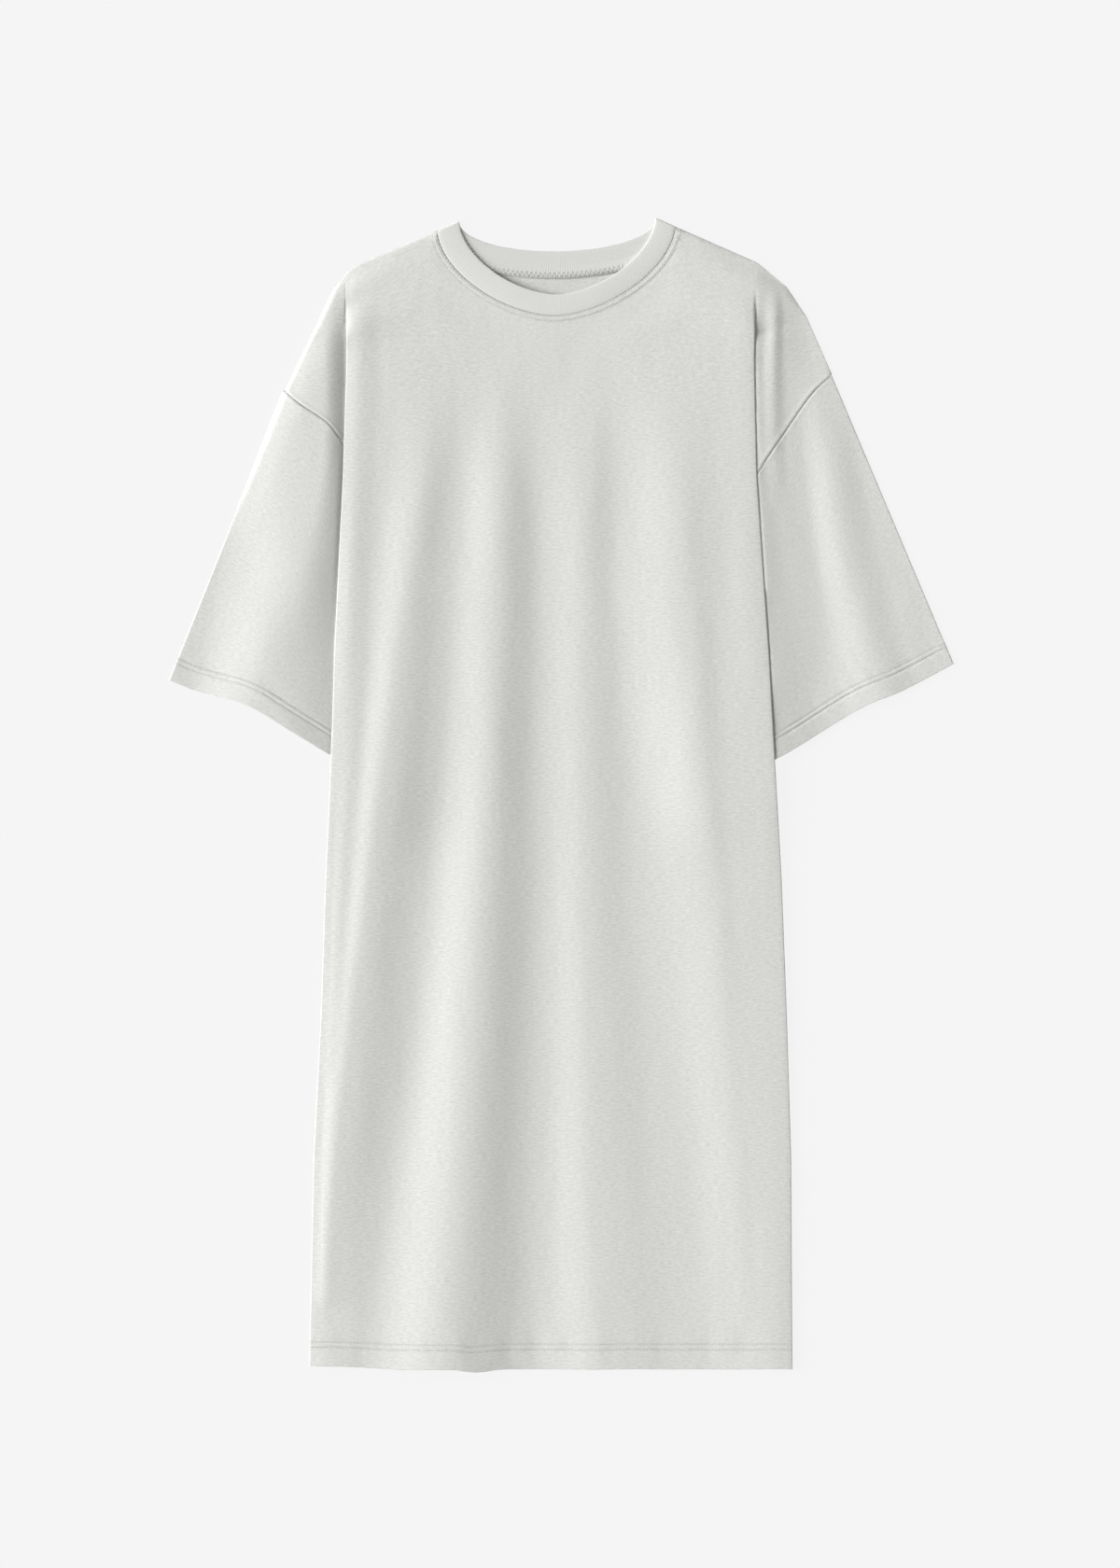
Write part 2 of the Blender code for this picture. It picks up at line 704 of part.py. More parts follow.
def turn_over(first, second, end, before):
    """Points of the half round that joins two layers at a folded edge."""
    length = math.dist(end, before)
    out = ((end[0] - before[0]) / length, (end[1] - before[1]) / length)
    radius = abs(first[2] - second[2]) / 2
    middle = (first[2] + second[2]) / 2
    sign = 1.0 if first[2] > second[2] else -1.0
    points = []
    for step in range(1, TURN_STEPS):
        angle = math.pi * step / TURN_STEPS
        reach = radius * math.sin(angle)
        points.append((end[0] + out[0] * reach, end[1] + out[1] * reach,
                       middle + sign * radius * math.cos(angle)))
    return points


def band_profile(width, lip):
    """Section of the neckband: place across and height from the cloth's middle.

    The lip is the seam allowance, which lies inside the body cloth and runs out at the
    shoulders, where the band stands further off.
    """
    seam = width - GAP * (1.0 + CORNER_CLEAR * (1.0 - lip))
    hidden = seam + max(LIP_WIDTH * lip, 0.05)
    return ((0.0, BAND_INSIDE + 0.5), (0.0, BAND_OUTSIDE - 0.5), (0.9, BAND_OUTSIDE),
            (seam, BAND_OUTSIDE), (seam, LIP_TOP), (hidden, LIP_TOP), (hidden, LIP_BOTTOM),
            (seam - 0.6, LIP_BOTTOM), (seam - 1.6, BAND_INSIDE), (0.9, BAND_INSIDE))


def neckband_rings():
    """Rings of the neckband: round the front, over the right shoulder, round the back."""
    front_z = neck_level(SHOULDER_TURN / FRONT_COLUMNS[1])
    back_z = FLOOR_MIDDLE
    rings = []
    for inner, outer, steps, face in (
            (FRONT_INNER, FRONT_SEAM, FRONT_COLUMNS[1], 1.0),
            (BACK_INNER, BACK_SEAM, BACK_COLUMNS[1], -1.0)):
        stations = [SHOULDER_TURN] + list(range(1, steps)) + [steps - SHOULDER_TURN]
        if face < 0:
            stations = stations[::-1]
        for station in stations:
            edge = neck_station(inner, steps, station)
            seam = neck_station(outer, steps, station)
            lip = smooth((math.sin(math.pi * station / steps) - LIP_START) / LIP_START)
            level = neck_level(station / steps) if face > 0 else back_z
            rings.append(flat_ring(edge, seam, lip, level, face))
        rings += shoulder_rings(face, front_z, back_z)
    return rings


def flat_ring(edge, seam, lip, level, face):
    """Section of the neckband where it lies flat, from its edge to the neck seam."""
    width = math.dist(edge, seam)
    return [(mix(edge[0], seam[0], across / width), mix(edge[1], seam[1], across / width),
             level + face * normal) for across, normal in band_profile(width, lip)]


def shoulder_rings(face, front_z, back_z):
    """Sections of the neckband as it turns over at a shoulder, front to back if face is 1."""
    ends = []
    for inner, outer, steps in ((FRONT_INNER, FRONT_SEAM, FRONT_COLUMNS[1]),
                                (BACK_INNER, BACK_SEAM, BACK_COLUMNS[1])):
        station = steps - SHOULDER_TURN if face > 0 else SHOULDER_TURN
        ends.append((neck_station(inner, steps, station), neck_station(outer, steps, station)))
    if face < 0:
        ends.reverse()
    rings = []
    for step in range(1, TURN_STEPS + 1):
        share = step / (TURN_STEPS + 1)
        angle = math.pi * share
        edge = tuple(mix(a, b, share) for a, b in zip(ends[0][0], ends[1][0]))
        seam = tuple(mix(a, b, share) for a, b in zip(ends[0][1], ends[1][1]))
        width = math.dist(edge, seam)
        ring = []
        for across, normal in band_profile(width, 0.0):
            swing = (front_z - back_z) / 2 + normal
            ring.append((mix(edge[0], seam[0], across / width),
                         mix(edge[1], seam[1], across / width) + swing * math.sin(angle),
                         (front_z + back_z) / 2 + face * swing * math.cos(angle)))
        rings.append(ring)
    return rings


def ring_object(name, rings, material):
    """Closed band through rings of points, round to its start."""
    across = len(rings[0])
    mesh = bpy.data.meshes.new(name)
    vertices = [placed(point) for ring in rings for point in ring]
    faces = []
    for ring in range(len(rings)):
        here, there = ring * across, (ring + 1) % len(rings) * across
        for index in range(across):
            after = (index + 1) % across
            faces.append((here + index, here + after, there + after, there + index))
    mesh.from_pydata(vertices, [], faces)
    mesh.shade_smooth()
    band = bpy.data.objects.new(name, mesh)
    band.data.materials.append(material)
    return band


def cloth_material(name, finish):
    """Plain matte cloth."""
    colour, roughness = finish
    material = bpy.data.materials.new(name)
    material.use_nodes = True
    shader = material.node_tree.nodes["Principled BSDF"]
    shader.inputs["Base Color"].default_value = colour
    shader.inputs["Roughness"].default_value = roughness
    shader.inputs["Metallic"].default_value = 0.0
    return material


def clear_scene():
    """Remove whatever the scene holds."""
    for item in list(bpy.data.objects):
        bpy.data.objects.remove(item, do_unlink=True)


def main():
    """Make every piece and put it in the dress's collection."""
    clear_scene()
    pieces = []
    levels = row_levels()
    hemmed = [index for index, y in enumerate(levels) if y < HEM_Y + HEM_DEPTH]
    thin_ends = 2 * TURN_STEPS + UNDER_STEPS + OUTER_STEPS + 1
    for name, front in (("front_body", True), ("back_body", False)):
        material = cloth_material(name + "_jersey", JERSEY)
        rows = panel_rows(front)
        if not front:
            rows = [row[::-1] for row in rows]
        pieces.append(grid_object(name, rows, False, material, hemmed, thin_ends))
    for name, side in (("sleeve_left", LEFT), ("sleeve_right", RIGHT)):
        material = cloth_material(name + "_jersey", JERSEY)
        rows = sleeve_rows(side)
        if side is LEFT:
            rows = [row[::-1] for row in rows]
        turned = [len(rows) - 2, len(rows) - 1]
        pieces.append(grid_object(name, rows, True, material, turned, 0))
    pieces.append(ring_object("neckband", neckband_rings(), cloth_material("neckband_rib", RIB)))
    collection = bpy.data.collections.new("t_shirt_dress")
    bpy.context.scene.collection.children.link(collection)
    for piece in pieces:
        collection.objects.link(piece)


main()
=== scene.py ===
"""T-shirt dress in pale cotton jersey, laid flat: its cloth, seams, stitching, light and camera.

The cloth lies in the form of the solids, in finer steps. Sizes are in millimetres until a
mesh is made. Left and right are as seen, not as worn.
"""
import logging
import math
from collections.abc import Callable
from dataclasses import dataclass, field
from enum import Enum
from functools import partial

import bpy
import numpy as np
from bpy.types import (Material, Mesh, Node, NodeInputs, NodeOutputs, NodeSocket, NodeTree,
                       Object)
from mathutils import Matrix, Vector, noise
from mathutils.bvhtree import BVHTree


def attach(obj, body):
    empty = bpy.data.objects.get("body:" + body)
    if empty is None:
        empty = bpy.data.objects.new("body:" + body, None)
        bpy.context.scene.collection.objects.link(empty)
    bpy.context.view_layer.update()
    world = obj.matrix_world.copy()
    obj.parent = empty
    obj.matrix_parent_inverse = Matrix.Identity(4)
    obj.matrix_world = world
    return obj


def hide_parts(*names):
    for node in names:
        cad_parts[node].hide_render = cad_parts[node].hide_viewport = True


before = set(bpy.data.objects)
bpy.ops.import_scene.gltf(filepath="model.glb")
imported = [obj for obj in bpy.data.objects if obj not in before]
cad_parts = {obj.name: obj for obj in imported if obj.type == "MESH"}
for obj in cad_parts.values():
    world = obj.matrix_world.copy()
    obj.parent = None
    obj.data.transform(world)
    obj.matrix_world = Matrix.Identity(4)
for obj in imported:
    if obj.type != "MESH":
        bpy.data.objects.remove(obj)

MM = 0.001
# Middle of the laid dress, along it. Every mesh is moved back by this much.
CENTRE_Y = 1.05
# The two rows of stitching beside the neck seam, by their distance from it.
NECK_ROWS = (1.4, 5.2)
# Cotton scatters light broadly, and its loose fibres lighten it where it turns away.
COTTON = {"Specular_IOR_Level": 0.25, "Sheen_Weight": 0.18, "Sheen_Roughness": 0.6}
# What the painted shade in seam lines and on the cloth's reverse darkens toward.
SHADOW = (0.02, 0.02, 0.016, 1.0)
log = logging.getLogger("dress")


class Face(Enum):
    """The two body panels."""

    FRONT = "front"
    BACK = "back"


class Hand(Enum):
    """The two sides of the dress, as seen."""

    LEFT = -1
    RIGHT = 1


def clamp(value: float) -> float:
    """Hold a value between 0 and 1."""
    return max(0.0, min(1.0, value))


def smooth(value: float) -> float:
    """Ease from 0 to 1."""
    value = clamp(value)
    return value * value * (3.0 - 2.0 * value)


def eased(values: np.ndarray) -> np.ndarray:
    """Ease many values from 0 to 1."""
    values = np.clip(values, 0.0, 1.0)
    return values ** 2 * (3.0 - 2.0 * values)


def mix(start: float, end: float, share: float) -> float:
    """Step from one value to another."""
    return start + (end - start) * share


def between(value: float, ends: tuple[float, float]) -> float:
    """Ease from 0 at the first of two ends to 1 at the second."""
    return smooth((value - ends[0]) / (ends[1] - ends[0]))


def hump(offset: float, width: float) -> float:
    """Round hump that is 1 at its crest and 0 a width away."""
    return math.cos(math.pi / 2 * min(1.0, abs(offset) / width)) ** 2


def linear(code: str) -> tuple[float, float, float, float]:
    """Turn an sRGB hex colour into the linear colour that shaders take.

    Args:
        code: Six hex digits after a hash sign.

    Returns:
        Red, green, blue and an alpha of 1.
    """
    parts = [int(code[i:i + 2], 16) / 255 for i in (1, 3, 5)]
    tones = [c / 12.92 if c <= 0.04045 else ((c + 0.055) / 1.055) ** 2.4 for c in parts]
    return (tones[0], tones[1], tones[2], 1.0)


def curve_point(points: tuple, share: float) -> tuple[float, float]:
    """Point at a share of the way along a smooth curve through some points.

    Args:
        points: Places that the curve passes.
        share: From 0 at the first point to 1 at the last.

    Returns:
        The place in plan.
    """
    lengths = [math.dist(a, b) for a, b in zip(points, points[1:])]
    travel = clamp(share) * sum(lengths)
    index = 0
    while index < len(lengths) - 1 and travel > lengths[index]:
        travel -= lengths[index]
        index += 1
    local = travel / lengths[index]
    before = points[max(0, index - 1)]
    start, end = points[index], points[index + 1]
    after = points[min(len(points) - 1, index + 2)]
    return tuple(
        0.5 * (2 * b + (c - a) * local + (2 * a - 5 * b + 4 * c - d) * local ** 2
               + (3 * b - a - 3 * c + d) * local ** 3)
        for a, b, c, d in zip(before, start, end, after))


def line_place(points: tuple, x: float) -> float:
    """Place along the dress of a line, at a place across it.

    Args:
        points: Points of the line in plan.
        x: The place across.

    Returns:
        The line's place along the dress, or its nearest end's.
    """
    ordered = sorted(points)
    if x <= ordered[0][0]:
        return ordered[0][1]
    for start, end in zip(ordered, ordered[1:]):
        if x <= end[0]:
            return mix(start[1], end[1], (x - start[0]) / (end[0] - start[0]))
    return ordered[-1][1]


def distances(plan: np.ndarray, line: np.ndarray) -> np.ndarray:
    """Shortest distance in plan from each place to a line of points.

    Args:
        plan: Places, one to a row.
        line: Points of the line, one to a row.

    Returns:
        One distance for each place.
    """
    best = np.full(len(plan), 1e9)
    for start, end in zip(line[:-1], line[1:]):
        along = end - start
        share = np.clip((plan - start) @ along / max(along @ along, 1e-9), 0.0, 1.0)
        best = np.minimum(best, np.linalg.norm(plan - start - share[:, None] * along, axis=1))
    return best


@dataclass(frozen=True)
class Section:
    """Laid body at one place along it: side edges, layer turned under, and front's middle."""

    y: float
    left: float
    right: float
    under: float
    middle: float


@dataclass(frozen=True)
class Crease:
    """A long soft crest or trough of the front, at the chest, the hip and the hem."""

    chest_x: float
    hip_x: float
    hem_x: float
    chest_h: float
    hip_h: float
    hem_h: float


@dataclass(frozen=True)
class CrestPoint:
    """A place on a swell's crest: its height, and its widths and leans inward and outward.

    Inward is toward the body. A lean over 1 holds the height, and the fall comes late and
    steep. A lean under 1 lets it fall at once.
    """

    y: float
    x: float
    height: float
    inner: float
    outer: float
    lean: float
    outer_lean: float = 1.0


@dataclass(frozen=True)
class Swell:
    """A soft ridge of a sleeve or a dropped shoulder, along a crest from its top down.

    Its crest is read at a number of samples and blurred over some of them, so that it bends
    softly. A smaller foot spreads it wider toward the body.
    """

    crest: tuple[CrestPoint, ...]
    foot: float = 2.0
    samples: int = 120
    blur: int = 17

    def relief(self, hand: Hand, plan: np.ndarray) -> np.ndarray:
        """Heights that the ridge adds.

        Args:
            hand: The side of the dress it lies on.
            plan: Places, one to a row.

        Returns:
            One height for each place.
        """
        rising = self.crest[::-1]
        levels = [point.y for point in rising]
        dense = np.linspace(levels[0], levels[-1], self.samples)
        blur = np.hanning(self.blur)
        blur /= blur.sum()
        rim = self.blur // 2
        values = {}
        for key in ("x", "height", "inner", "outer", "lean", "outer_lean"):
            track = np.interp(dense, levels, [getattr(point, key) for point in rising])
            padded = np.pad(track, rim, mode="reflect", reflect_type="odd")
            values[key] = np.interp(plan[:, 1], dense, np.convolve(padded, blur, "valid"))
        inward = (values["x"] - plan[:, 0]) * hand.value
        width = np.where(inward > 0, values["inner"], values["outer"])
        fall = np.clip(np.abs(inward) / width, 0.0, 1.0)
        lean = np.where(inward > 0, values["lean"], values["outer_lean"])
        shape = np.cos(np.pi / 2 * fall ** lean) ** np.where(inward > 0, self.foot, 2.0)
        inside = (plan[:, 1] <= levels[-1]) & (plan[:, 1] >= levels[0])
        return np.where(inside, np.maximum(values["height"], 0.0) * shape, 0.0)


def crested(*rows: tuple[float, ...], foot: float = 2.0) -> Swell:
    """Swell along a crest, with the values of a crest point in each row."""
    return Swell(tuple(CrestPoint(*row) for row in rows), foot)


@dataclass(frozen=True)
class NeckCurve:
    """One edge of the round neck, as a flattened round curve."""

    middle: float
    half_width: float
    top: float
    depth: float
    power: float
    tilt: float = 0.0165

    def at(self, share: float) -> tuple[float, float]:
        """Place at a share of the way round.

        Args:
            share: 0 at the left shoulder and 1 at the right one.

        Returns:
            The place in plan.
        """
        x = self.middle - self.half_width * math.cos(math.pi * share)
        off = clamp(abs(x - self.middle) / self.half_width)
        fall = self.depth * (1.0 - off ** self.power) ** (1.0 / self.power)
        return (x, self.top + self.tilt * (x - self.middle) - fall)

    def line(self, steps: int) -> np.ndarray:
        """The whole curve as points."""
        return np.array([self.at(step / steps) for step in range(steps + 1)])


@dataclass(frozen=True)
class SideLines:
    """Lines of one side in plan: shoulder, armhole and cuff, and the swells between them."""

    shoulder: tuple
    armhole: tuple
    cuff: tuple
    sleeve_fall: float
    edge_run: float
    edge_space: float
    edge_crest: float
    swells: tuple[Swell, ...]
    steps: int = 40

    def armhole_line(self) -> np.ndarray:
        """The armhole seam as points, tip to underarm."""
        shares = np.arange(self.steps + 1) / self.steps
        return np.array([curve_point(self.armhole, share) for share in shares])


@dataclass
class LaidForm:
    """The dress as it lies: every height and edge that the pieces share.

    The body is laid narrower than it is cut. At each armhole the front and the back fold
    under along a straight edge, and the sleeve's hidden underarm lies between them.
    """

    # Places along the dress.
    hem_y: float = -554.0
    shoulder_y: float = 497.0
    underarm_y: float = 198.0
    chest_y: float = 240.0
    hip_y: float = -60.0
    # The cloth's thickness, and how far its layers lie apart.
    wall: float = 1.2
    gap: float = 0.3
    floor_middle: float = 0.6
    sleeve_space: float = 2.0
    back_fall: float = 42.0
    # The cloth turned under at the sides: its width, and where it parts below the shoulders.
    tuck_slope: float = 0.235
    tuck_least: float = 2.0
    apex: float = 12.0
    fold_start: float = 100.0
    fold_delay: float = 0.45
    turn_start: float = 25.0
    turn_length: float = 48.0
    turn_run: float = 0.3
    # Radii of the turned edges.
    front_turn: float = 0.75
    lower_turn: float = 0.65
    lower_turn_y: tuple[float, float] = (60.0, -60.0)
    inner_roll: float = 0.68
    back_roll: float = 0.9
    back_inset: float = 1.5
    seam_roll: float = 1.0
    # The top, where the front sinks toward the shoulder line.
    tip_drop: float = 112.0
    relax_length: float = 120.0
    top_rest: float = 3.5
    top_ease: float = 130.0
    shoulder_rise: float = 4.4
    shoulder_round: float = 26.0
    side_ease: float = 80.0
    # The front above the cloth turned under, and the crest along its side edge.
    plateau_margin: float = 10.0
    plateau_decay: float = 75.0
    plateau_gap: float = 1.4
    shallow_y: tuple[float, float] = (360.0, 420.0)
    shallow_share: float = 0.2
    wide_y: tuple[float, float] = (300.0, 430.0)
    edge_blend: tuple[float, float] = (14.0, 30.0)
    edge_blend_y: tuple[float, float] = (225.0, 345.0)
    crest_in: float = 11.0
    crest_width: float = 24.0
    crest_low: float = 0.3
    crest_fade: float = 150.0
    # The long folds.
    fold_margin: float = 9.0
    fold_lean: float = 1.12
    fade_top: float = 430.0
    fade_length: float = 175.0
    # How the swells end toward the outline, and how the sleeve thins out there.
    outline_round: float = 26.0
    outline_edge: float = 3.0
    outline_share: float = 0.55
    thin_reach: float = 40.0
    thin_run: float = 28.0
    sections: tuple[Section, ...] = tuple(Section(*row) for row in (
        (500, -205.7, 186.4, 8.2, 8.2),
        (410, -206.6, 185.4, 8.2, 8.0),
        (306, -210.2, 187.7, 8.2, 7.0),
        (136, -218.3, 199.4, 8.2, 5.6),
        (66, -220.4, 203.2, 9.2, 4.9),
        (2, -223.0, 207.0, 9.2, 4.3),
        (-80, -226.9, 211.7, 5.2, 3.6),
        (-206, -231.0, 216.5, 4.9, 2.8),
        (-350, -238.4, 221.0, 4.4, 2.4),
        (-554, -242.6, 222.2, 3.7, 2.2),
    ))
    creases: tuple[Crease, ...] = tuple(Crease(*row) for row in (
        (-178, -206, -250, 0.0, 1.4, 0.4),
        (-143, -184, -238, 3.2, 4.4, 0.8),
        (-106, -132, -202, 0.3, 0.6, 2.0),
        (-62, -75, -115, 5.2, 8.3, 12.0),
        (-16, -14, -20, 0.2, 0.7, 0.5),
        (22, 22, 38, 2.2, 2.9, 4.5),
        (58, 78, 136, 0.0, 0.0, 0.9),
        (115, 141, 176, 2.3, 1.4, 0.7),
        (156, 168, 198, 0.2, 0.3, 0.2),
    ))
    neck: dict = field(default_factory=lambda: {
        Face.FRONT: (NeckCurve(-3.9, 94.5, 553.5, 72.0, 1.7),
                     NeckCurve(-5.0, 114.8, 545.0, 84.2, 1.7)),
        Face.BACK: (NeckCurve(-3.9, 94.5, 553.5, 30.0, 2.0),
                    NeckCurve(-4.5, 114.8, 545.0, 40.0, 2.0)),
    })
    sides: dict = field(default_factory=lambda: {
        Hand.LEFT: SideLines(
            shoulder=((-119.8, 543.1), (-196.7, 510.3), (-207.5, 501.5), (-220.1, 486.0),
                      (-231.0, 463.0), (-266.9, 388.5)),
            armhole=((-266.9, 388.5), (-250.9, 375.2), (-234.5, 364.6), (-223.1, 355.8),
                     (-215.4, 345.0), (-209.4, 334.8), (-184.0, 275.0), (-148.5, 198.0)),
            cuff=((-194.9, 26.1), (-221.0, 36.9), (-261.5, 61.2), (-302.9, 85.5),
                  (-352.4, 99.9), (-378.5, 110.0)),
            sleeve_fall=130.0,
            edge_run=5.0,
            edge_space=2.0,
            edge_crest=1.2,
            swells=(crested(
                (502, -229, 0.0, 24, 24, 0.85, 1.5),
                (474, -229, 1.6, 25, 40, 1.0, 1.8),
                (430, -228, 6.8, 21, 80, 1.0, 1.7),
                (375, -228, 7.5, 20, 110, 1.0, 1.7),
                (336, -228, 7.5, 21, 110, 1.1, 1.6),
                (288, -234, 7.7, 29, 100, 1.1, 1.4),
                (226, -250, 8.2, 42, 80, 1.1), (150, -275, 8.6, 57, 72, 1.1),
                (91, -296, 8.2, 80, 66, 1.1), (20, -314, 8.4, 100, 52, 1.2),
                foot=1.1),),
        ),
        Hand.RIGHT: SideLines(
            shoulder=((109.8, 546.9), (193.1, 510.3), (205.7, 503.0), (218.3, 486.9),
                      (236.3, 459.9), (261.0, 404.1)),
            armhole=((261.0, 404.1), (244.8, 389.7), (235.1, 377.4), (219.9, 355.3),
                     (187.6, 307.0), (158.0, 253.0), (128.3, 198.0)),
            cuff=((178.7, 18.9), (207.5, 34.2), (228.2, 45.9), (286.7, 81.9),
                  (329.0, 99.9), (378.5, 126.0)),
            sleeve_fall=58.0,
            edge_run=3.0,
            edge_space=1.0,
            edge_crest=0.3,
            swells=(
                crested(
                    (484, 188, 0.0, 5, 14, 1.0, 0.7),
                    (440, 187, 1.2, 4, 14, 1.0, 0.7),
                    (410, 187, 1.8, 4, 15, 1.0, 0.7),
                    (343, 188, 2.0, 4, 16, 1.0, 0.7),
                    (288, 190, 2.0, 4, 18, 1.0, 0.6),
                    (226, 194, 2.0, 4, 26, 1.0, 0.6),
                    (136, 201, 2.0, 4, 40, 1.0, 0.6),
                    (60, 205, 2.0, 4, 50, 1.0, 0.6),
                    (10, 208, 2.0, 4, 56, 1.0, 0.6)),
                crested(
                    (488, 206, 0.0, 9, 8, 1.0), (462, 206, 1.4, 12, 9, 1.0),
                    (406, 204, 1.9, 13, 10, 1.0), (343, 204, 1.4, 13, 12, 1.0),
                    (270, 206, 0.0, 13, 16, 1.0)),
                crested(
                    (420, 240, 0.0, 24, 30, 1.0), (343, 256, 1.8, 28, 34, 1.0),
                    (226, 274, 2.6, 30, 36, 1.0), (136, 300, 2.8, 40, 38, 1.0),
                    (60, 322, 3.0, 50, 36, 1.0), (10, 334, 3.0, 50, 30, 1.0))),
        ),
    })

    def section_at(self, y: float) -> Section:
        """Section at a place along the dress, eased between the rows of the table.

        Args:
            y: Place along the dress.

        Returns:
            The section there.
        """
        rows = self.sections
        y = min(rows[0].y, max(rows[-1].y, y))
        index = 0
        while index < len(rows) - 2 and y < rows[index + 1].y:
            index += 1
        upper, lower = rows[index], rows[index + 1]
        share = (upper.y - y) / (upper.y - lower.y)
        return Section(y, mix(upper.left, lower.left, share),
                       mix(upper.right, lower.right, share),
                       mix(upper.under, lower.under, smooth(share)),
                       mix(upper.middle, lower.middle, share))

    def through_three(self, y: float, chest: float, hip: float, hem: float) -> float:
        """Value on the curve that passes its chest, hip and hem values.

        Args:
            y: Place along the dress.
            chest: Value at the chest.
            hip: Value at the hip.
            hem: Value at the hem.

        Returns:
            Value at the place.
        """
        a, b, c = self.chest_y, self.hip_y, self.hem_y
        return (chest * (y - b) * (y - c) / ((a - b) * (a - c))
                + hip * (y - a) * (y - c) / ((b - a) * (b - c))
                + hem * (y - a) * (y - b) / ((c - a) * (c - b)))

    def turn(self, y: float) -> float:
        """Angle through which the edge is turned under at a place along the dress."""
        drop = self.shoulder_y - self.turn_start - y
        return max(math.pi * smooth(drop / self.turn_length), 1e-3)

    def rise(self, y: float) -> float:
        """How far the fold's layers have parted, 1 where it is fully turned."""
        angle = self.turn(y)
        return (1.0 - math.cos(angle)) / angle * math.pi / 2

    def turn_drop(self, y: float) -> float:
        """Height taken by the short run between two turns that are partly made."""
        return self.turn_run * math.sin(self.turn(y))

    def tuck_width(self, y: float) -> float:
        """Width of the cloth that is turned under.

        Args:
            y: Place along the dress.

        Returns:
            The width on one side.
        """
        reach = self.shoulder_y + self.apex
        if y >= self.underarm_y:
            down = (self.shoulder_y - y) / self.fold_start
            opened = smooth((down - self.fold_delay) / (1.0 - self.fold_delay))
            return self.tuck_slope * (reach - y) * opened
        full = self.tuck_slope * (reach - self.underarm_y)
        return max(self.tuck_least,
                   full * (y - self.hem_y) / (self.underarm_y - self.hem_y))

    def outside(self, hand: Hand, x: float, y: float) -> float:
        """How far a place lies outside the body's laid edge."""
        section = self.section_at(y)
        return x - section.right if hand is Hand.RIGHT else section.left - x

    def inner_back(self, hand: Hand, x: float, y: float) -> float:
        """Middle of the layer under the sleeve and the dropped shoulder.

        Args:
            hand: The side of the dress.
            x: Place across the dress.
            y: Place along the dress.

        Returns:
            Its height.
        """
        fall = 1.0 - smooth(self.outside(hand, x, y) / self.back_fall)
        lift = 4 * self.back_roll * self.rise(y) + self.turn_drop(y)
        return self.floor_middle + lift * fall

    def inner_front(self, hand: Hand, x: float, y: float) -> float:
        """Middle of the upper layer of the sleeve and the dropped shoulder, without swells.

        Args:
            hand: The side of the dress.
            x: Place across the dress.
            y: Place along the dress.

        Returns:
            Its height.
        """
        fall = 1.0 - smooth(self.outside(hand, x, y) / self.sides[hand].sleeve_fall)
        lift = 4 * self.back_roll * self.rise(y) + self.turn_drop(y)
        below = smooth((self.shoulder_y - y) / self.shoulder_round)
        unfolded = below * (1.0 - clamp(self.rise(y)))
        lift += self.shoulder_rise * unfolded
        return self.floor_middle + lift * fall + self.sleeve_space

    def neck_level(self, share: float) -> float:
        """Level of the front's neck seam at a share of the way round it."""
        x, place = self.neck[Face.FRONT][1].at(share)
        return self.eased_top(x, place, self.front_height(x, self.shoulder_y))

    def eased_top(self, x: float, place: float, level: float) -> float:
        """Level of the front once it has sunk toward the line of the shoulders.

        Args:
            x: Place across the dress.
            place: Place along the dress.
            level: Level that the front has without it.

        Returns:
            The level to use.
        """
        seam = self.neck[Face.FRONT][1]
        corners = (seam.at(0.0), seam.at(1.0))
        hand = Hand.LEFT if x < 0 else Hand.RIGHT
        line = self.sides[hand].shoulder if not corners[0][0] < x < corners[1][0] else corners
        below = clamp((line_place(line, x) - place) / self.top_ease)
        return mix(self.top_rest, level, 1.0 - (1.0 - below) ** 2)

    def front_roll(self, y: float) -> float:
        """Radius of the front's side edge."""
        start, end = self.lower_turn_y
        return mix(self.front_turn, self.lower_turn, smooth((start - y) / (start - end)))

    def edge_offset(self, roll: float, y: float) -> float:
        """How far a turned edge of some radius stands out from where its turn starts."""
        turned = self.turn(y)
        return math.pi * roll / turned * math.sin(min(turned, math.pi / 2))

    def under_level(self, hand: Hand, y: float) -> float:
        """Middle of the front layer that is turned under.

        Args:
            hand: The side of the dress.
            y: Place along the dress.

        Returns:
            Its height.
        """
        section = self.section_at(y)
        if y < self.underarm_y:
            return section.under
        edge = section.right if hand is Hand.RIGHT else section.left
        return self.inner_front(hand, edge, y) + 2 * self.inner_roll * self.rise(y)

    def edge_level(self, hand: Hand, y: float) -> float:
        """Middle of the front just inside its side edge."""
        lift = 2 * self.front_roll(y) * self.rise(y) + self.turn_drop(y)
        return self.under_level(hand, y) + lift

    def fold_relief(self, x: float, y: float) -> float:
        """Height of the long soft folds above the front's lowest valleys.

        Args:
            x: Place across the dress.
            y: Place along the dress.

        Returns:
            The height to add.
        """
        section = self.section_at(y)
        lines = [(section.left, 0.0)]
        for crease in self.creases:
            place = self.through_three(y, crease.chest_x, crease.hip_x, crease.hem_x)
            height = self.through_three(y, crease.chest_h, crease.hip_h, crease.hem_h)
            if lines[-1][0] + self.fold_margin < place < section.right - self.fold_margin:
                lines.append((place, max(0.0, height)))
        lines.append((section.right, 0.0))
        fade = smooth((self.fade_top - y) / self.fade_length)
        for (start, first), (end, second) in zip(lines, lines[1:]):
            if start <= x <= end:
                share = (x - start) / (end - start)
                if second > first:
                    share = 1.0 - share
                    first, second = second, first
                fall = math.cos(math.pi / 2 * share) ** 2
                return fade * mix(second, first, fall ** self.fold_lean)
        return 0.0

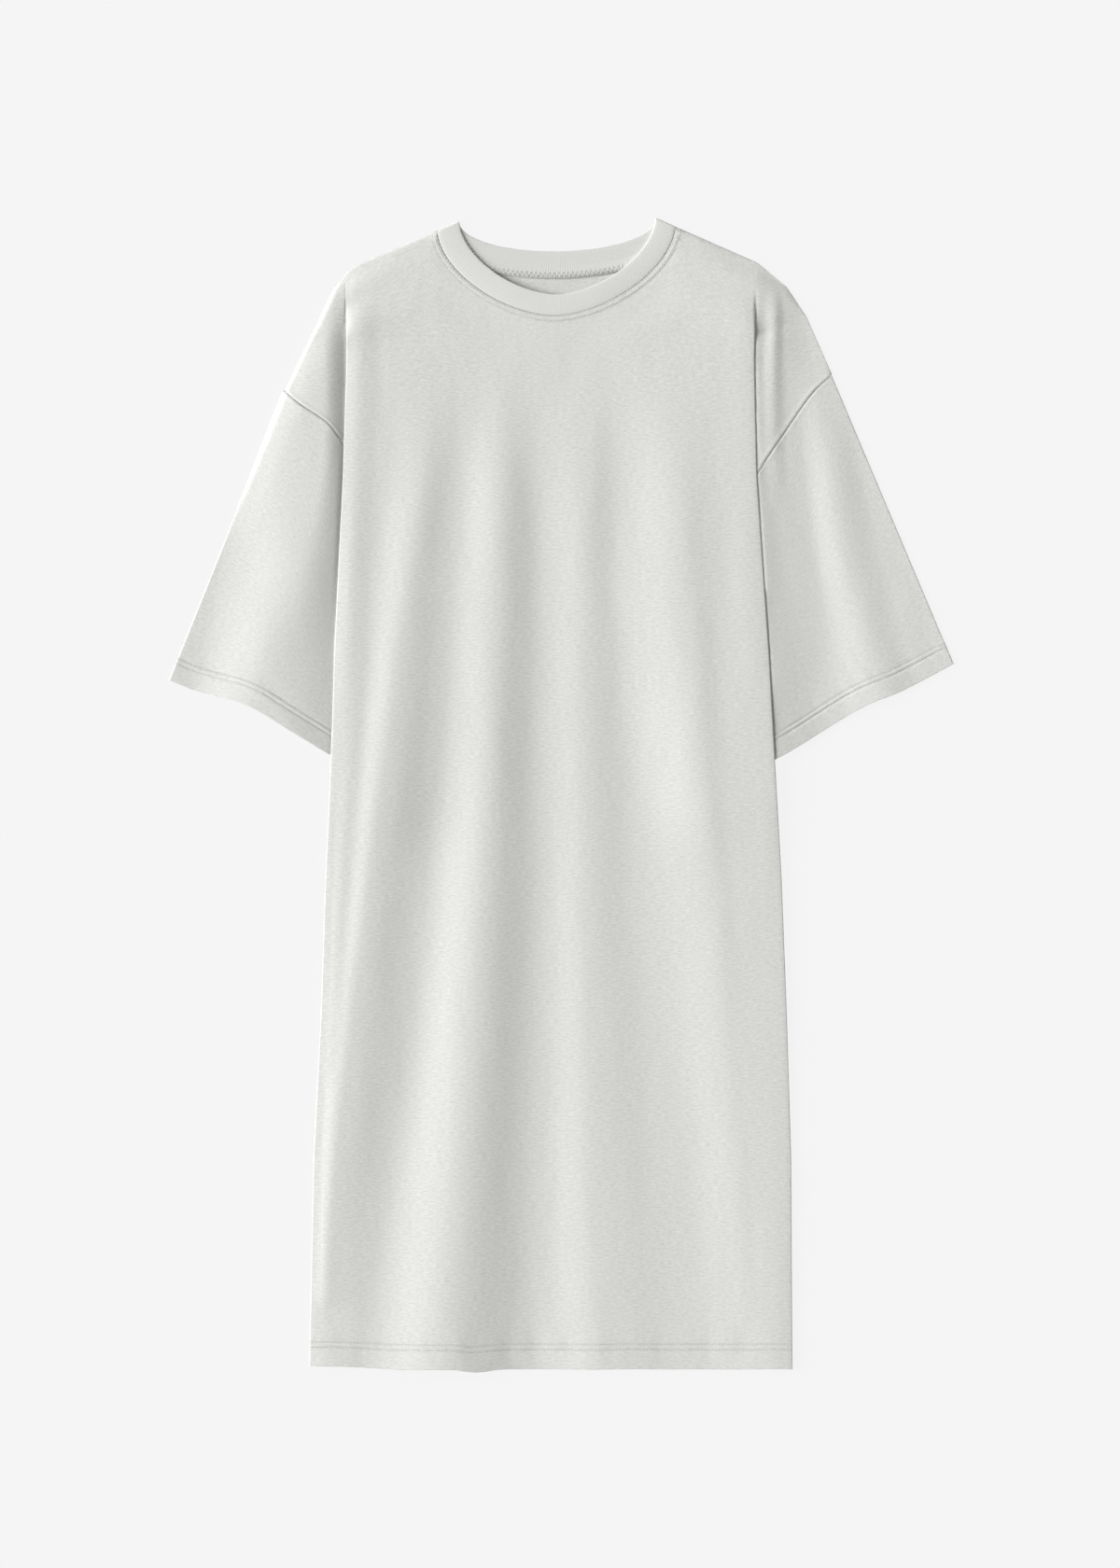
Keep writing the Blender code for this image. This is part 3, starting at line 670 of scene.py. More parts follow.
    def front_height(self, x: float, y: float) -> float:
        """Middle of the front's top layer.

        Args:
            x: Place across the dress.
            y: Place along the dress.

        Returns:
            Its height.
        """
        section = self.section_at(y)
        hand = Hand.LEFT if x < (section.left + section.right) / 2 else Hand.RIGHT
        inward = x - section.left if hand is Hand.LEFT else section.right - x
        edge = self.edge_level(hand, y)
        roll = self.front_roll(y)
        sunk = self.rise(y) * mix(1.0, self.shallow_share, between(y, self.shallow_y))
        plateau = edge - (2 * roll - self.wall - self.plateau_gap * self.gap) * sunk
        reach = self.tuck_width(y) + self.plateau_margin
        decay = self.plateau_decay * (1.0 + between(y, self.wide_y))
        held = 1.0 - smooth((inward - reach) / decay)
        level = mix(section.middle, plateau, held) + self.fold_relief(x, y)
        width = mix(*self.edge_blend, between(y, self.edge_blend_y))
        level = mix(level, edge, hump(max(0.0, inward - self.edge_offset(roll, y)), width))
        off = inward - self.crest_in
        crest = hump(off, self.crest_in if off < 0.0 else self.crest_width)
        crest *= clamp(self.rise(y)) * mix(self.crest_low, 1.0, smooth(y / self.crest_fade))
        return level + self.sides[hand].edge_crest * crest

    def swell_relief(self, hand: Hand, plan: np.ndarray) -> np.ndarray:
        """Height of a side's swells, rounded off toward the outline and the body's edge.

        Args:
            hand: The side of the dress.
            plan: Places, one to a row.

        Returns:
            Heights to add.
        """
        side = self.sides[hand]
        relief = sum(swell.relief(hand, plan) for swell in side.swells)
        away = distances(plan, np.array(side.shoulder + (side.cuff[-1],)))
        near = np.clip(away / self.outline_round, 0.0, 1.0)
        relief *= mix(1.0 - (1.0 - near) ** 2, np.clip(away / self.outline_edge, 0.0, 1.0),
                      self.outline_share)
        outside = np.array([self.outside(hand, x, y) for x, y in plan])
        thinned = (self.sleeve_space - side.edge_space) * (1.0 - eased(away / self.thin_reach))
        return (relief * eased((outside + 1.0) / side.edge_run)
                - thinned * eased(outside / self.thin_run))


def cloth_piece(name: str, points: np.ndarray, faces: list, places: np.ndarray,
                material: Material) -> Object:
    """Make a mesh of cloth, with the flat place of each point as its UV map.

    Args:
        name: The piece's name.
        points: Its points in millimetres, one to a row.
        faces: The points of each face.
        places: Flat place of each point in metres.
        material: What it is made of.

    Returns:
        The piece, at the origin.
    """
    mesh = bpy.data.meshes.new(name)
    mesh.from_pydata((points - (0.0, CENTRE_Y, 0.0)) * MM, [], faces)
    flat = mesh.uv_layers.new(name="flat_cut")
    corners = np.zeros(len(mesh.loops), int)
    mesh.loops.foreach_get("vertex_index", corners)
    flat.data.foreach_set("uv", places[corners].ravel())
    mesh.shade_smooth()
    mesh.materials.append(material)
    piece = bpy.data.objects.new(name, mesh)
    bpy.context.scene.collection.objects.link(piece)
    return piece


def mark(mesh: Mesh, name: str, domain: str, values: np.ndarray | list) -> None:
    """Store a number for each point or face of a mesh, for its material to read."""
    mesh.attributes.new(name, "FLOAT", domain).data.foreach_set("value", values)


@dataclass
class ClothGrid:
    """Rows of points that become one sheet of cloth.

    A closed sheet joins the last point of each row to its first. Its shade is painted shade that
    darkens each point, and its reverse painted shade darkens the side that faces up.
    """

    name: str
    rows: np.ndarray
    closed: bool
    thickness: float
    material: Material
    shade: np.ndarray
    flip: bool = False
    flat_v: tuple = ()
    reverse_shade: float = 0.0

    def texture_places(self) -> np.ndarray:
        """Flat place of each point in metres: along the row and down the rows.

        Returns:
            Two values for each point of each row.
        """
        steps = np.linalg.norm(np.diff(self.rows, axis=1), axis=2)
        across = np.concatenate([np.zeros((len(self.rows), 1)), np.cumsum(steps, axis=1)], axis=1)
        middle = self.rows.shape[1] // 2
        across -= across[:, middle:middle + 1]
        falls = np.linalg.norm(np.diff(self.rows[:, middle], axis=0), axis=1)
        down = np.concatenate([[0.0], np.cumsum(falls)])
        if len(self.flat_v):
            down = np.array(self.flat_v)
        return np.stack([across, np.repeat(down[:, None], across.shape[1], axis=1)], axis=2) * MM

    def build(self) -> Object:
        """Make the sheet, give it its thickness and its flat places.

        Returns:
            The finished object, at the origin.
        """
        count, across = self.rows.shape[:2]
        faces = []
        for upper in range(count - 1):
            base, below = upper * across, (upper + 1) * across
            for index in range(across if self.closed else across - 1):
                after = (index + 1) % across
                quad = (base + index, below + index, below + after, base + after)
                faces.append(quad[::-1] if self.flip else quad)
        places = self.texture_places().reshape(-1, 2)
        sheet = cloth_piece(self.name, self.rows.reshape(-1, 3), faces, places, self.material)
        # Painted shade in the seam ditches and the stitching furrows, which the material reads.
        mark(sheet.data, "seam_shade", "POINT", self.shade.ravel())
        wall = sheet.modifiers.new("cloth_thickness", "SOLIDIFY")
        wall.thickness = self.thickness * MM
        wall.offset = 0.0
        settled(sheet)
        # Painted shade on the reverse, the side of a back piece that faces up. It stands in for the
        # shade on the inside of the back where it shows through the neck under the front.
        mark(sheet.data, "reverse_shade", "FACE",
             [self.reverse_shade * (face.normal.z > 0.0) for face in sheet.data.polygons])
        return sheet


def settled(piece: Object) -> Object:
    """Turn a piece's modifiers into its own mesh.

    Args:
        piece: An object at the origin whose modifiers give its shape.

    Returns:
        The same object, with a plain mesh.
    """
    bpy.context.view_layer.update()
    shaped = piece.evaluated_get(bpy.context.evaluated_depsgraph_get())
    mesh = bpy.data.meshes.new_from_object(shaped)
    piece.modifiers.clear()
    old = piece.data
    piece.data = mesh
    mesh.name = piece.name
    bpy.data.meshes.remove(old)
    mesh.shade_smooth()
    return piece


@dataclass(frozen=True)
class Ripple:
    """Slow unevenness of the cloth, the same on every run: its height and its two lengths."""

    height: float
    across: float
    along: float
    seed: float

    def at(self, x: float, y: float) -> float:
        """Height at a place, above or below the even cloth."""
        return self.height * noise.noise(Vector((x / self.across, y / self.along, self.seed)))


@dataclass(frozen=True)
class TurnedEdge:
    """A hem or a cuff: cloth turned up and sewn down with two rows of stitching.

    Distances are counted up from its edge. Past the last row the doubled cloth steps down.
    """

    up: float
    stitch_rows: tuple[float, float]
    puckers: tuple[Ripple, ...]
    pucker_reach: float
    pucker_end: float = math.inf
    groove_depth: float = 0.6
    groove_width: float = 0.8
    doubled: float = 0.35
    doubled_past: float = 4.0
    step: float = 1.6
    # Strength of the painted shade in the stitching furrows.
    painted_shading: float = 0.22

    def near_rows(self, up: float | np.ndarray) -> float | np.ndarray:
        """How near a row of stitching some places are, 1 on it."""
        return sum(np.exp(-((up - at) / self.groove_width) ** 2) for at in self.stitch_rows)

    def thicker(self, up: float) -> float:
        """Height that the doubled cloth adds at a distance up from the edge."""
        return self.doubled * smooth((self.up + self.doubled_past - up) / self.step)

    def pucker(self, along: float, up: float) -> float:
        """Height of the small puckers that the sewing draws in.

        Args:
            along: Distance along the edge.
            up: Distance up from the edge.

        Returns:
            The height, above or below the even cloth.
        """
        if up >= self.pucker_end:
            return 0.0
        near = math.exp(-((up - self.up) / self.pucker_reach) ** 2)
        return near * sum(ripple.at(along, up) for ripple in self.puckers)


@dataclass
class BodyPanel:
    """Front or back of the body, with the cloth it turns under and its dropped shoulders."""

    form: LaidForm
    face: Face
    thickness: float = 0.9
    hem: TurnedEdge = TurnedEdge(
        21.0, (18.4, 23.8), (Ripple(0.42, 9.0, 60.0, 7.0), Ripple(0.30, 21.0, 60.0, 9.0)),
        pucker_reach=17.0, pucker_end=60.0)
    uneven: tuple[Ripple, ...] = (Ripple(0.30, 38.0, 120.0, 1.0), Ripple(0.12, 14.0, 50.0, 2.0))
    # Steps across, and places of the rows below the shoulder line and above the hem.
    turn_steps: int = 8
    under_steps: int = 6
    outer_steps: int = 34
    neck_steps: int = 72
    shoulder_steps: int = 16
    edge_columns: int = 3
    row_step: float = 5.5
    top_rows: tuple[float, ...] = (0.0, 0.8, 1.6, 2.4, 3.2, 4.1, 5.0, 6.0, 7.2, 8.6, 10.4, 12.8,
                                   15.8, 19.4, 23.6)
    hem_rows: tuple[float, ...] = (0.0, 0.6, 1.8, 3.6, 6.0, 9.0, 12.0, 14.6, 16.4, 17.3, 17.9,
                                   18.4, 18.9, 19.6, 21.1, 22.6, 23.3, 23.8, 24.3, 25.0, 26.4,
                                   28.8, 32.0)
    # The cloth from the inner fold out to the shoulder line or the armhole.
    armhole_rows: tuple[float, ...] = (0.0, 0.7, 1.4, 2.2, 3.2, 4.6, 6.6)
    short_run: float = 14.0
    tip_clear: float = 22.0
    tip_lean: float = 1.3
    armhole_lean: float = 1.15
    # The side seam's hidden edge.
    seam_open: float = 1.6
    seam_open_length: float = 90.0
    seam_round_share: float = 0.7
    # How folds pull the hem up at the left and down in the middle: how far, where and how wide.
    hem_pull_length: float = 90.0
    left_pull: tuple[float, float, float] = (3.0, -150.0, 70.0)
    fold_pull: tuple[float, float, float] = (2.4, -82.0, 26.0)
    hem_waver: Ripple = Ripple(0.5, 45.0, 1.0, 4.0)
    # Relief beside the armhole seam and the neck seam, and painted shade in their ditches and
    # stitching furrows.
    ridge: float = 0.35
    ridge_away: float = 2.4
    ridge_width: float = 2.2
    ditch_width: float = 0.8
    seam_painted_shade: float = 0.3
    neck_painted_shade: tuple[tuple[float, float], ...] = ((0.0, 0.28), (1.6, 0.08), (5.2, 0.2))
    neck_line_steps: int = 80
    neck_taper: float = 4.0
    # The rounding toward the shoulder seams.
    round_reach: float = 5.0
    round_clear: float = 0.15
    round_highest: float = 9.0
    # Painted shade on the back's inside, which shows through the neck in the front's shade.
    reverse_shade: float = 0.06
    shade: np.ndarray = field(init=False, repr=False)

    @property
    def side_count(self) -> int:
        """Points of a row beyond each side edge."""
        return self.turn_steps * 2 + self.under_steps + self.outer_steps

    def levels(self) -> list[float]:
        """Where the rows lie, close together at the neck and at the hem's stitching.

        Returns:
            Places along the dress, from the shoulders to the hem.
        """
        first, last = self.top_rows[-1], self.hem_rows[-1]
        span = self.form.shoulder_y - self.form.hem_y
        middle = np.arange(first + self.row_step, span - last, self.row_step)
        upper = [self.form.shoulder_y - drop for drop in (*self.top_rows, *middle)]
        return upper + [self.form.hem_y + rise for rise in self.hem_rows[::-1]]

    def ends(self, y: float) -> tuple[float, float]:
        """Where the panel starts to turn under, left and right.

        Args:
            y: Place along the dress.

        Returns:
            The two places across.
        """
        form = self.form
        section = form.section_at(y)
        roll = form.front_roll(y) if self.face is Face.FRONT else form.back_roll
        off = form.edge_offset(roll, y)
        if self.face is Face.BACK:
            off += form.back_inset
        return section.left + off, section.right - off

    def columns(self) -> list[tuple[float, float, float]]:
        """Points of the top edge, from one side edge to the other.

        Returns:
            Place across, place along and share of the way round the neck for each point.
        """
        seam = self.form.neck[self.face][1]
        first, last = self.ends(self.form.shoulder_y)
        left, right = seam.at(0.0), seam.at(1.0)
        made = []
        for step in range(self.shoulder_steps):
            x = mix(first, left[0], step / self.shoulder_steps)
            made.append((x, line_place(self.form.sides[Hand.LEFT].shoulder, x), -1.0))
        for step in range(self.neck_steps + 1):
            share = step / self.neck_steps
            x, y = seam.at(share)
            made.append((x, y, share))
        for step in range(1, self.shoulder_steps + 1):
            x = mix(right[0], last, step / self.shoulder_steps)
            made.append((x, line_place(self.form.sides[Hand.RIGHT].shoulder, x), 2.0))
        return made

    def side_block(self, hand: Hand, y: float) -> list[tuple[float, float, float]]:
        """One row from a side edge outward: turned edge, layer under, outer cloth or seam.

        Args:
            hand: The side of the dress.
            y: The row's place along the dress.

        Returns:
            Points from the side edge to the seam.
        """
        form = self.form
        is_front = self.face is Face.FRONT
        way = hand.value
        start_x = self.ends(y)[hand is Hand.RIGHT]
        start_z = form.edge_level(hand, y) if is_front else form.floor_middle
        down = -1 if is_front else 1
        roll = form.front_roll(y) if is_front else form.back_roll
        inner = form.inner_roll if is_front else form.back_roll
        turned = form.turn(y)
        least = form.turn_run if y > form.underarm_y else form.tuck_least / 2
        inset = 0.0 if is_front else form.back_inset
        width = max(form.tuck_width(y) - inset - roll, least)
        path = self.bend((0.0, 0.0), 0.0, turned, math.pi * roll, self.turn_steps)
        path += self.run(path[-1], turned, width, self.under_steps)
        if y >= form.underarm_y:
            path += self.bend(path[-1], turned, -turned, math.pi * inner, self.turn_steps)
            points = [(start_x + way * out, self.row_y(hand, start_x + way * out, y),
                       start_z + down * depth) for out, depth in path]
            return points + self.outer_cloth(hand, y, points[-1])
        seam_z = (form.section_at(y).under + form.floor_middle + 2 * form.back_roll) / 2
        gap = mix(self.seam_open, form.gap, smooth((form.underarm_y - y) / self.seam_open_length))
        drop = abs((start_z + down * path[-1][1]) - seam_z) - gap / 2
        round_off = min(form.seam_roll, drop * self.seam_round_share)
        path += self.bend(path[-1], turned, math.pi / 2 - turned, round_off * math.pi / 2,
                          self.turn_steps)
        path += self.run(path[-1], math.pi / 2, drop - round_off, self.outer_steps)
        return [(start_x + way * out, y, start_z + down * depth) for out, depth in path]

    @staticmethod
    def bend(start: tuple, heading: float, turned: float, length: float, steps: int) -> list:
        """Points of an arc in a row.

        Args:
            start: Point that it starts from.
            heading: Its angle at the start, 0 for level.
            turned: Angle that it turns through.
            length: Length of the arc.
            steps: Number of points.

        Returns:
            How far out and how far down each point is.
        """
        radius = length / turned
        return [(start[0] + radius * (math.sin(heading + turned * step / steps)
                                      - math.sin(heading)),
                 start[1] + radius * (math.cos(heading)
                                      - math.cos(heading + turned * step / steps)))
                for step in range(1, steps + 1)]

    @staticmethod
    def run(start: tuple, heading: float, length: float, steps: int) -> list:
        """Points of a straight stretch in a row.

        Args:
            start: Point that it starts from.
            heading: Its angle at the start, 0 for level.
            length: Length of the stretch.
            steps: Number of points.

        Returns:
            How far out and how far down each point is.
        """
        return [(start[0] + length * step / steps * math.cos(heading),
                 start[1] + length * step / steps * math.sin(heading))
                for step in range(1, steps + 1)]

    def relax(self, y: float) -> float:
        """Share of the top edge's shape that a row still follows."""
        return 1.0 - smooth((self.form.shoulder_y - y) / self.form.relax_length)

    def row_y(self, hand: Hand, x: float, y: float) -> float:
        """Place along of a row's point, bent to follow the shoulder line near the top."""
        top = line_place(self.form.sides[hand].shoulder, x)
        return y + (top - self.form.shoulder_y) * self.relax(y)

    def outer_cloth(self, hand: Hand, y: float, start: tuple) -> list:
        """Points from the inner fold out to the shoulder line or the armhole seam.

        Args:
            hand: The side of the dress.
            y: The row's place along the dress.
            start: Last point of the inner fold.

        Returns:
            The points, without the first.
        """
        form = self.form
        side = form.sides[hand]
        drop = form.shoulder_y - y
        if drop <= form.tip_drop:
            begin = hand.value * (self.tip_clear + abs(side.shoulder[1][0]))
            x = mix(begin, side.shoulder[-1][0], (drop / form.tip_drop) ** self.tip_lean)
            reach = (x, line_place(side.shoulder, x))
        else:
            share = (drop - form.tip_drop) / (form.shoulder_y - form.underarm_y - form.tip_drop)
            reach = curve_point(side.armhole, share ** self.armhole_lean)
        height = form.inner_front if self.face is Face.FRONT else form.inner_back
        mismatch = start[2] - height(hand, start[0], start[1])
        length = math.dist(start[:2], reach)
        shrink = min(1.0, length / self.short_run) / max(length, 1e-6)
        tail = [shrink * away for away in self.armhole_rows]
        count = self.outer_steps - len(tail) + 1
        shares = [step / count * (1.0 - tail[-1]) for step in range(1, count)]
        shares += [1.0 - t for t in tail[::-1]]
        made = []
        for share in shares:
            x, place = mix(start[0], reach[0], share), mix(start[1], reach[1], share)
            made.append((x, place, height(hand, x, place) + mismatch * (1.0 - share)))
        return made

    def hem_dip(self, x: float, y: float) -> float:
        """How far the hem's rows are pulled along the dress by its folds.

        Args:
            x: Place across the dress.
            y: Place along the dress.

        Returns:
            How far up it is pulled.
        """
        near = 1.0 - smooth((y - self.form.hem_y) / self.hem_pull_length)
        raised, start, run = self.left_pull
        lowered, middle, width = self.fold_pull
        return near * (raised * smooth((start - x) / run) - lowered * hump(x - middle, width)
                       + self.hem_waver.at(x, 0.0))

    def rows(self) -> np.ndarray:
        """All the panel's points, row by row from the left seam to the right one.

        Returns:
            The points by row and column.
        """
        columns = self.columns()
        made = []
        neck_share = []
        for y in self.levels():
            left = self.side_block(Hand.LEFT, y)
            right = self.side_block(Hand.RIGHT, y)
            first, last = self.ends(y)
            across = (1.0 - clamp((self.form.shoulder_y - y) / self.form.relax_length)) ** 3
            row = []
            for index, (top_x, top_y, _) in enumerate(columns):
                even = mix(first, last, index / (len(columns) - 1))
                follow = mix(first, last, (top_x - columns[0][0])
                             / (columns[-1][0] - columns[0][0]))
                x = mix(even, follow, across)
                place = y + (top_y - self.form.shoulder_y) * self.relax(y)
                z = self.form.floor_middle
                if self.face is Face.FRONT:
                    inward = min(x - first, last - x)
                    level = self.form.front_height(x, y)
                    z = mix(level, self.form.eased_top(x, place, level),
                            smooth(inward / self.form.side_ease))
                row.append((x, place, z))
            made.append(left[::-1] + row + right)
            at_neck = [smooth(math.sin(math.pi * clamp(share)) * self.neck_taper)
                       for _, _, share in columns]
            neck_share.append([0.0] * len(left) + at_neck + [0.0] * len(right))
        rows = np.array(made)
        self.shade = np.zeros(rows.shape[:2])
        if self.face is Face.FRONT:
            rows = self.shaped(rows, np.array(neck_share))
        for index, y in enumerate(self.levels()):
            if y - self.form.hem_y < self.hem_pull_length:
                for column in range(rows.shape[1]):
                    rows[index, column, 1] += self.hem_dip(rows[index, column, 0], y)
        return rows

    def shaped(self, rows: np.ndarray, neck_share: np.ndarray) -> np.ndarray:
        """Add the front's swells, seam ridges, stitching grooves and rounded top edge.

        Args:
            rows: The panel's points.
            neck_share: Share of the neck edge that each point follows.

        Returns:
            The points with their finer form.
        """
        form = self.form
        count, across = rows.shape[:2]
        levels = np.array(self.levels())
        plan = rows[:, :, :2].reshape(-1, 2)
        seam_line = form.neck[self.face][1].line(self.neck_line_steps)
        neck = distances(plan, seam_line).reshape(count, across)
        middle = slice(self.side_count, across - self.side_count)
        outer = {Hand.LEFT: slice(0, self.outer_steps),
                 Hand.RIGHT: slice(across - self.outer_steps, across)}
        for hand, part in outer.items():
            side = form.sides[hand]
            above = levels >= form.underarm_y
            spots = rows[above, part]
            flat = spots[:, :, :2].reshape(-1, 2)
            seam = distances(flat, side.armhole_line()).reshape(spots.shape[:2])
            relief = form.swell_relief(hand, flat).reshape(spots.shape[:2])
            ridge = (bell(seam - self.ridge_away, self.ridge_width)
                     - np.exp(-(seam / self.ditch_width) ** 2))
            rows[above, part, 2] += relief + self.ridge * ridge
            # Painted shade in the armhole seam's ditch.
            self.shade[above, part] += self.seam_painted_shade * line_shade(seam)
        at_neck = neck_share[:, middle] > 0
        rows[:, middle, 2] += seam_ridges(neck[:, middle], NECK_ROWS) * at_neck
        # Painted shade in the neck seam and in the furrows of its stitching.
        self.shade[:, middle] += at_neck * sum(
            painted_shading * line_shade(neck[:, middle] - at) for at, painted_shading in self.neck_painted_shade)
        ups = levels - form.hem_y
        # Painted shade in the hem's stitching furrows.
        self.shade += self.hem.painted_shading * self.hem.near_rows(ups)[:, None]
        self.ease_top(rows, neck_share)
        for index, (y, up) in enumerate(zip(levels, ups)):
            rows[index, :, 2] += self.hem.thicker(up)
            groove = self.hem.groove_depth * self.hem.near_rows(up)
            for column in range(middle.start, middle.stop):
                x = rows[index, column, 0]
                inward = min(column - middle.start, middle.stop - 1 - column)
                uneven = sum(ripple.at(x, y) for ripple in self.uneven)
                rows[index, column, 2] += ((self.hem.pucker(x, up) + uneven - groove)
                                           * smooth(inward / self.edge_columns))
        return rows

    def ease_top(self, rows: np.ndarray, neck_share: np.ndarray) -> None:
        """Round the front down to the shoulder seams, from the neck to the sleeves.

        Args:
            rows: The panel's points.
            neck_share: Share of the neck edge that each point follows.
        """
        form = self.form
        for hand, side in form.sides.items():
            line = np.array(side.shoulder)
            plan = rows[:, :, :2].reshape(-1, 2)
            near = distances(plan, line).reshape(rows.shape[:2])
            for index, column in zip(*np.nonzero(near < self.round_reach)):
                x, y, z = rows[index, column]
                if (x < 0) != (hand is Hand.LEFT):
                    continue
                is_outer = not self.side_count <= column < rows.shape[1] - self.side_count
                if is_outer and z > self.round_highest:
                    continue
                rest = form.floor_middle if not is_outer else form.inner_back(hand, x, y)
                rest += self.thickness + self.round_clear
                share = math.sqrt(1.0 - (1.0 - near[index, column] / self.round_reach) ** 2)
                share = mix(share, 1.0, neck_share[index, column])
                rows[index, column, 2] = mix(min(z, rest), z, share)

    def build(self, material: Material) -> Object:
        """Make the panel's cloth.

        Args:
            material: The jersey.

        Returns:
            The finished cloth.
        """
        rows = self.rows()
        is_back = self.face is Face.BACK
        return ClothGrid(f"{self.face.value}_cloth", rows, False, self.thickness, material,
                         self.shade, flip=is_back,
                         flat_v=tuple(self.form.shoulder_y - y for y in self.levels()),
                         reverse_shade=self.reverse_shade * is_back).build()


def line_shade(away: np.ndarray) -> np.ndarray:
    """Painted shade in a sewn line's furrow over distances from it, 1 on the line."""
    return np.exp(-(away / 0.9) ** 2)


def bell(offset: np.ndarray, width: float) -> np.ndarray:
    """Round hump over a set of offsets."""
    return np.cos(np.pi / 2 * np.clip(np.abs(offset) / width, 0.0, 1.0)) ** 2


def seam_ridges(away: np.ndarray, rows: tuple[float, float]) -> np.ndarray:
    """Height beside a seam with two rows of stitching over its allowance.

    Args:
        away: Distances from the seam.
        rows: Distances of the two rows of stitching.

    Returns:
        Heights to add.
    """
    near, far = rows
    allowance = 0.35 * (1.0 - np.clip((away - far) / 2.5, 0.0, 1.0))
    padded_up = 0.2 * bell(away - (near + far) / 2, (far - near) / 2)
    # The seam itself and both rows of stitching are sunk, by these depths and half widths.
    sunk = sum(deep * np.exp(-((away - at) / wide) ** 2)
               for at, deep, wide in ((near, 0.1, 0.6), (far, 0.36, 0.8), (0.0, 0.3, 0.8)))
    return allowance + padded_up - sunk


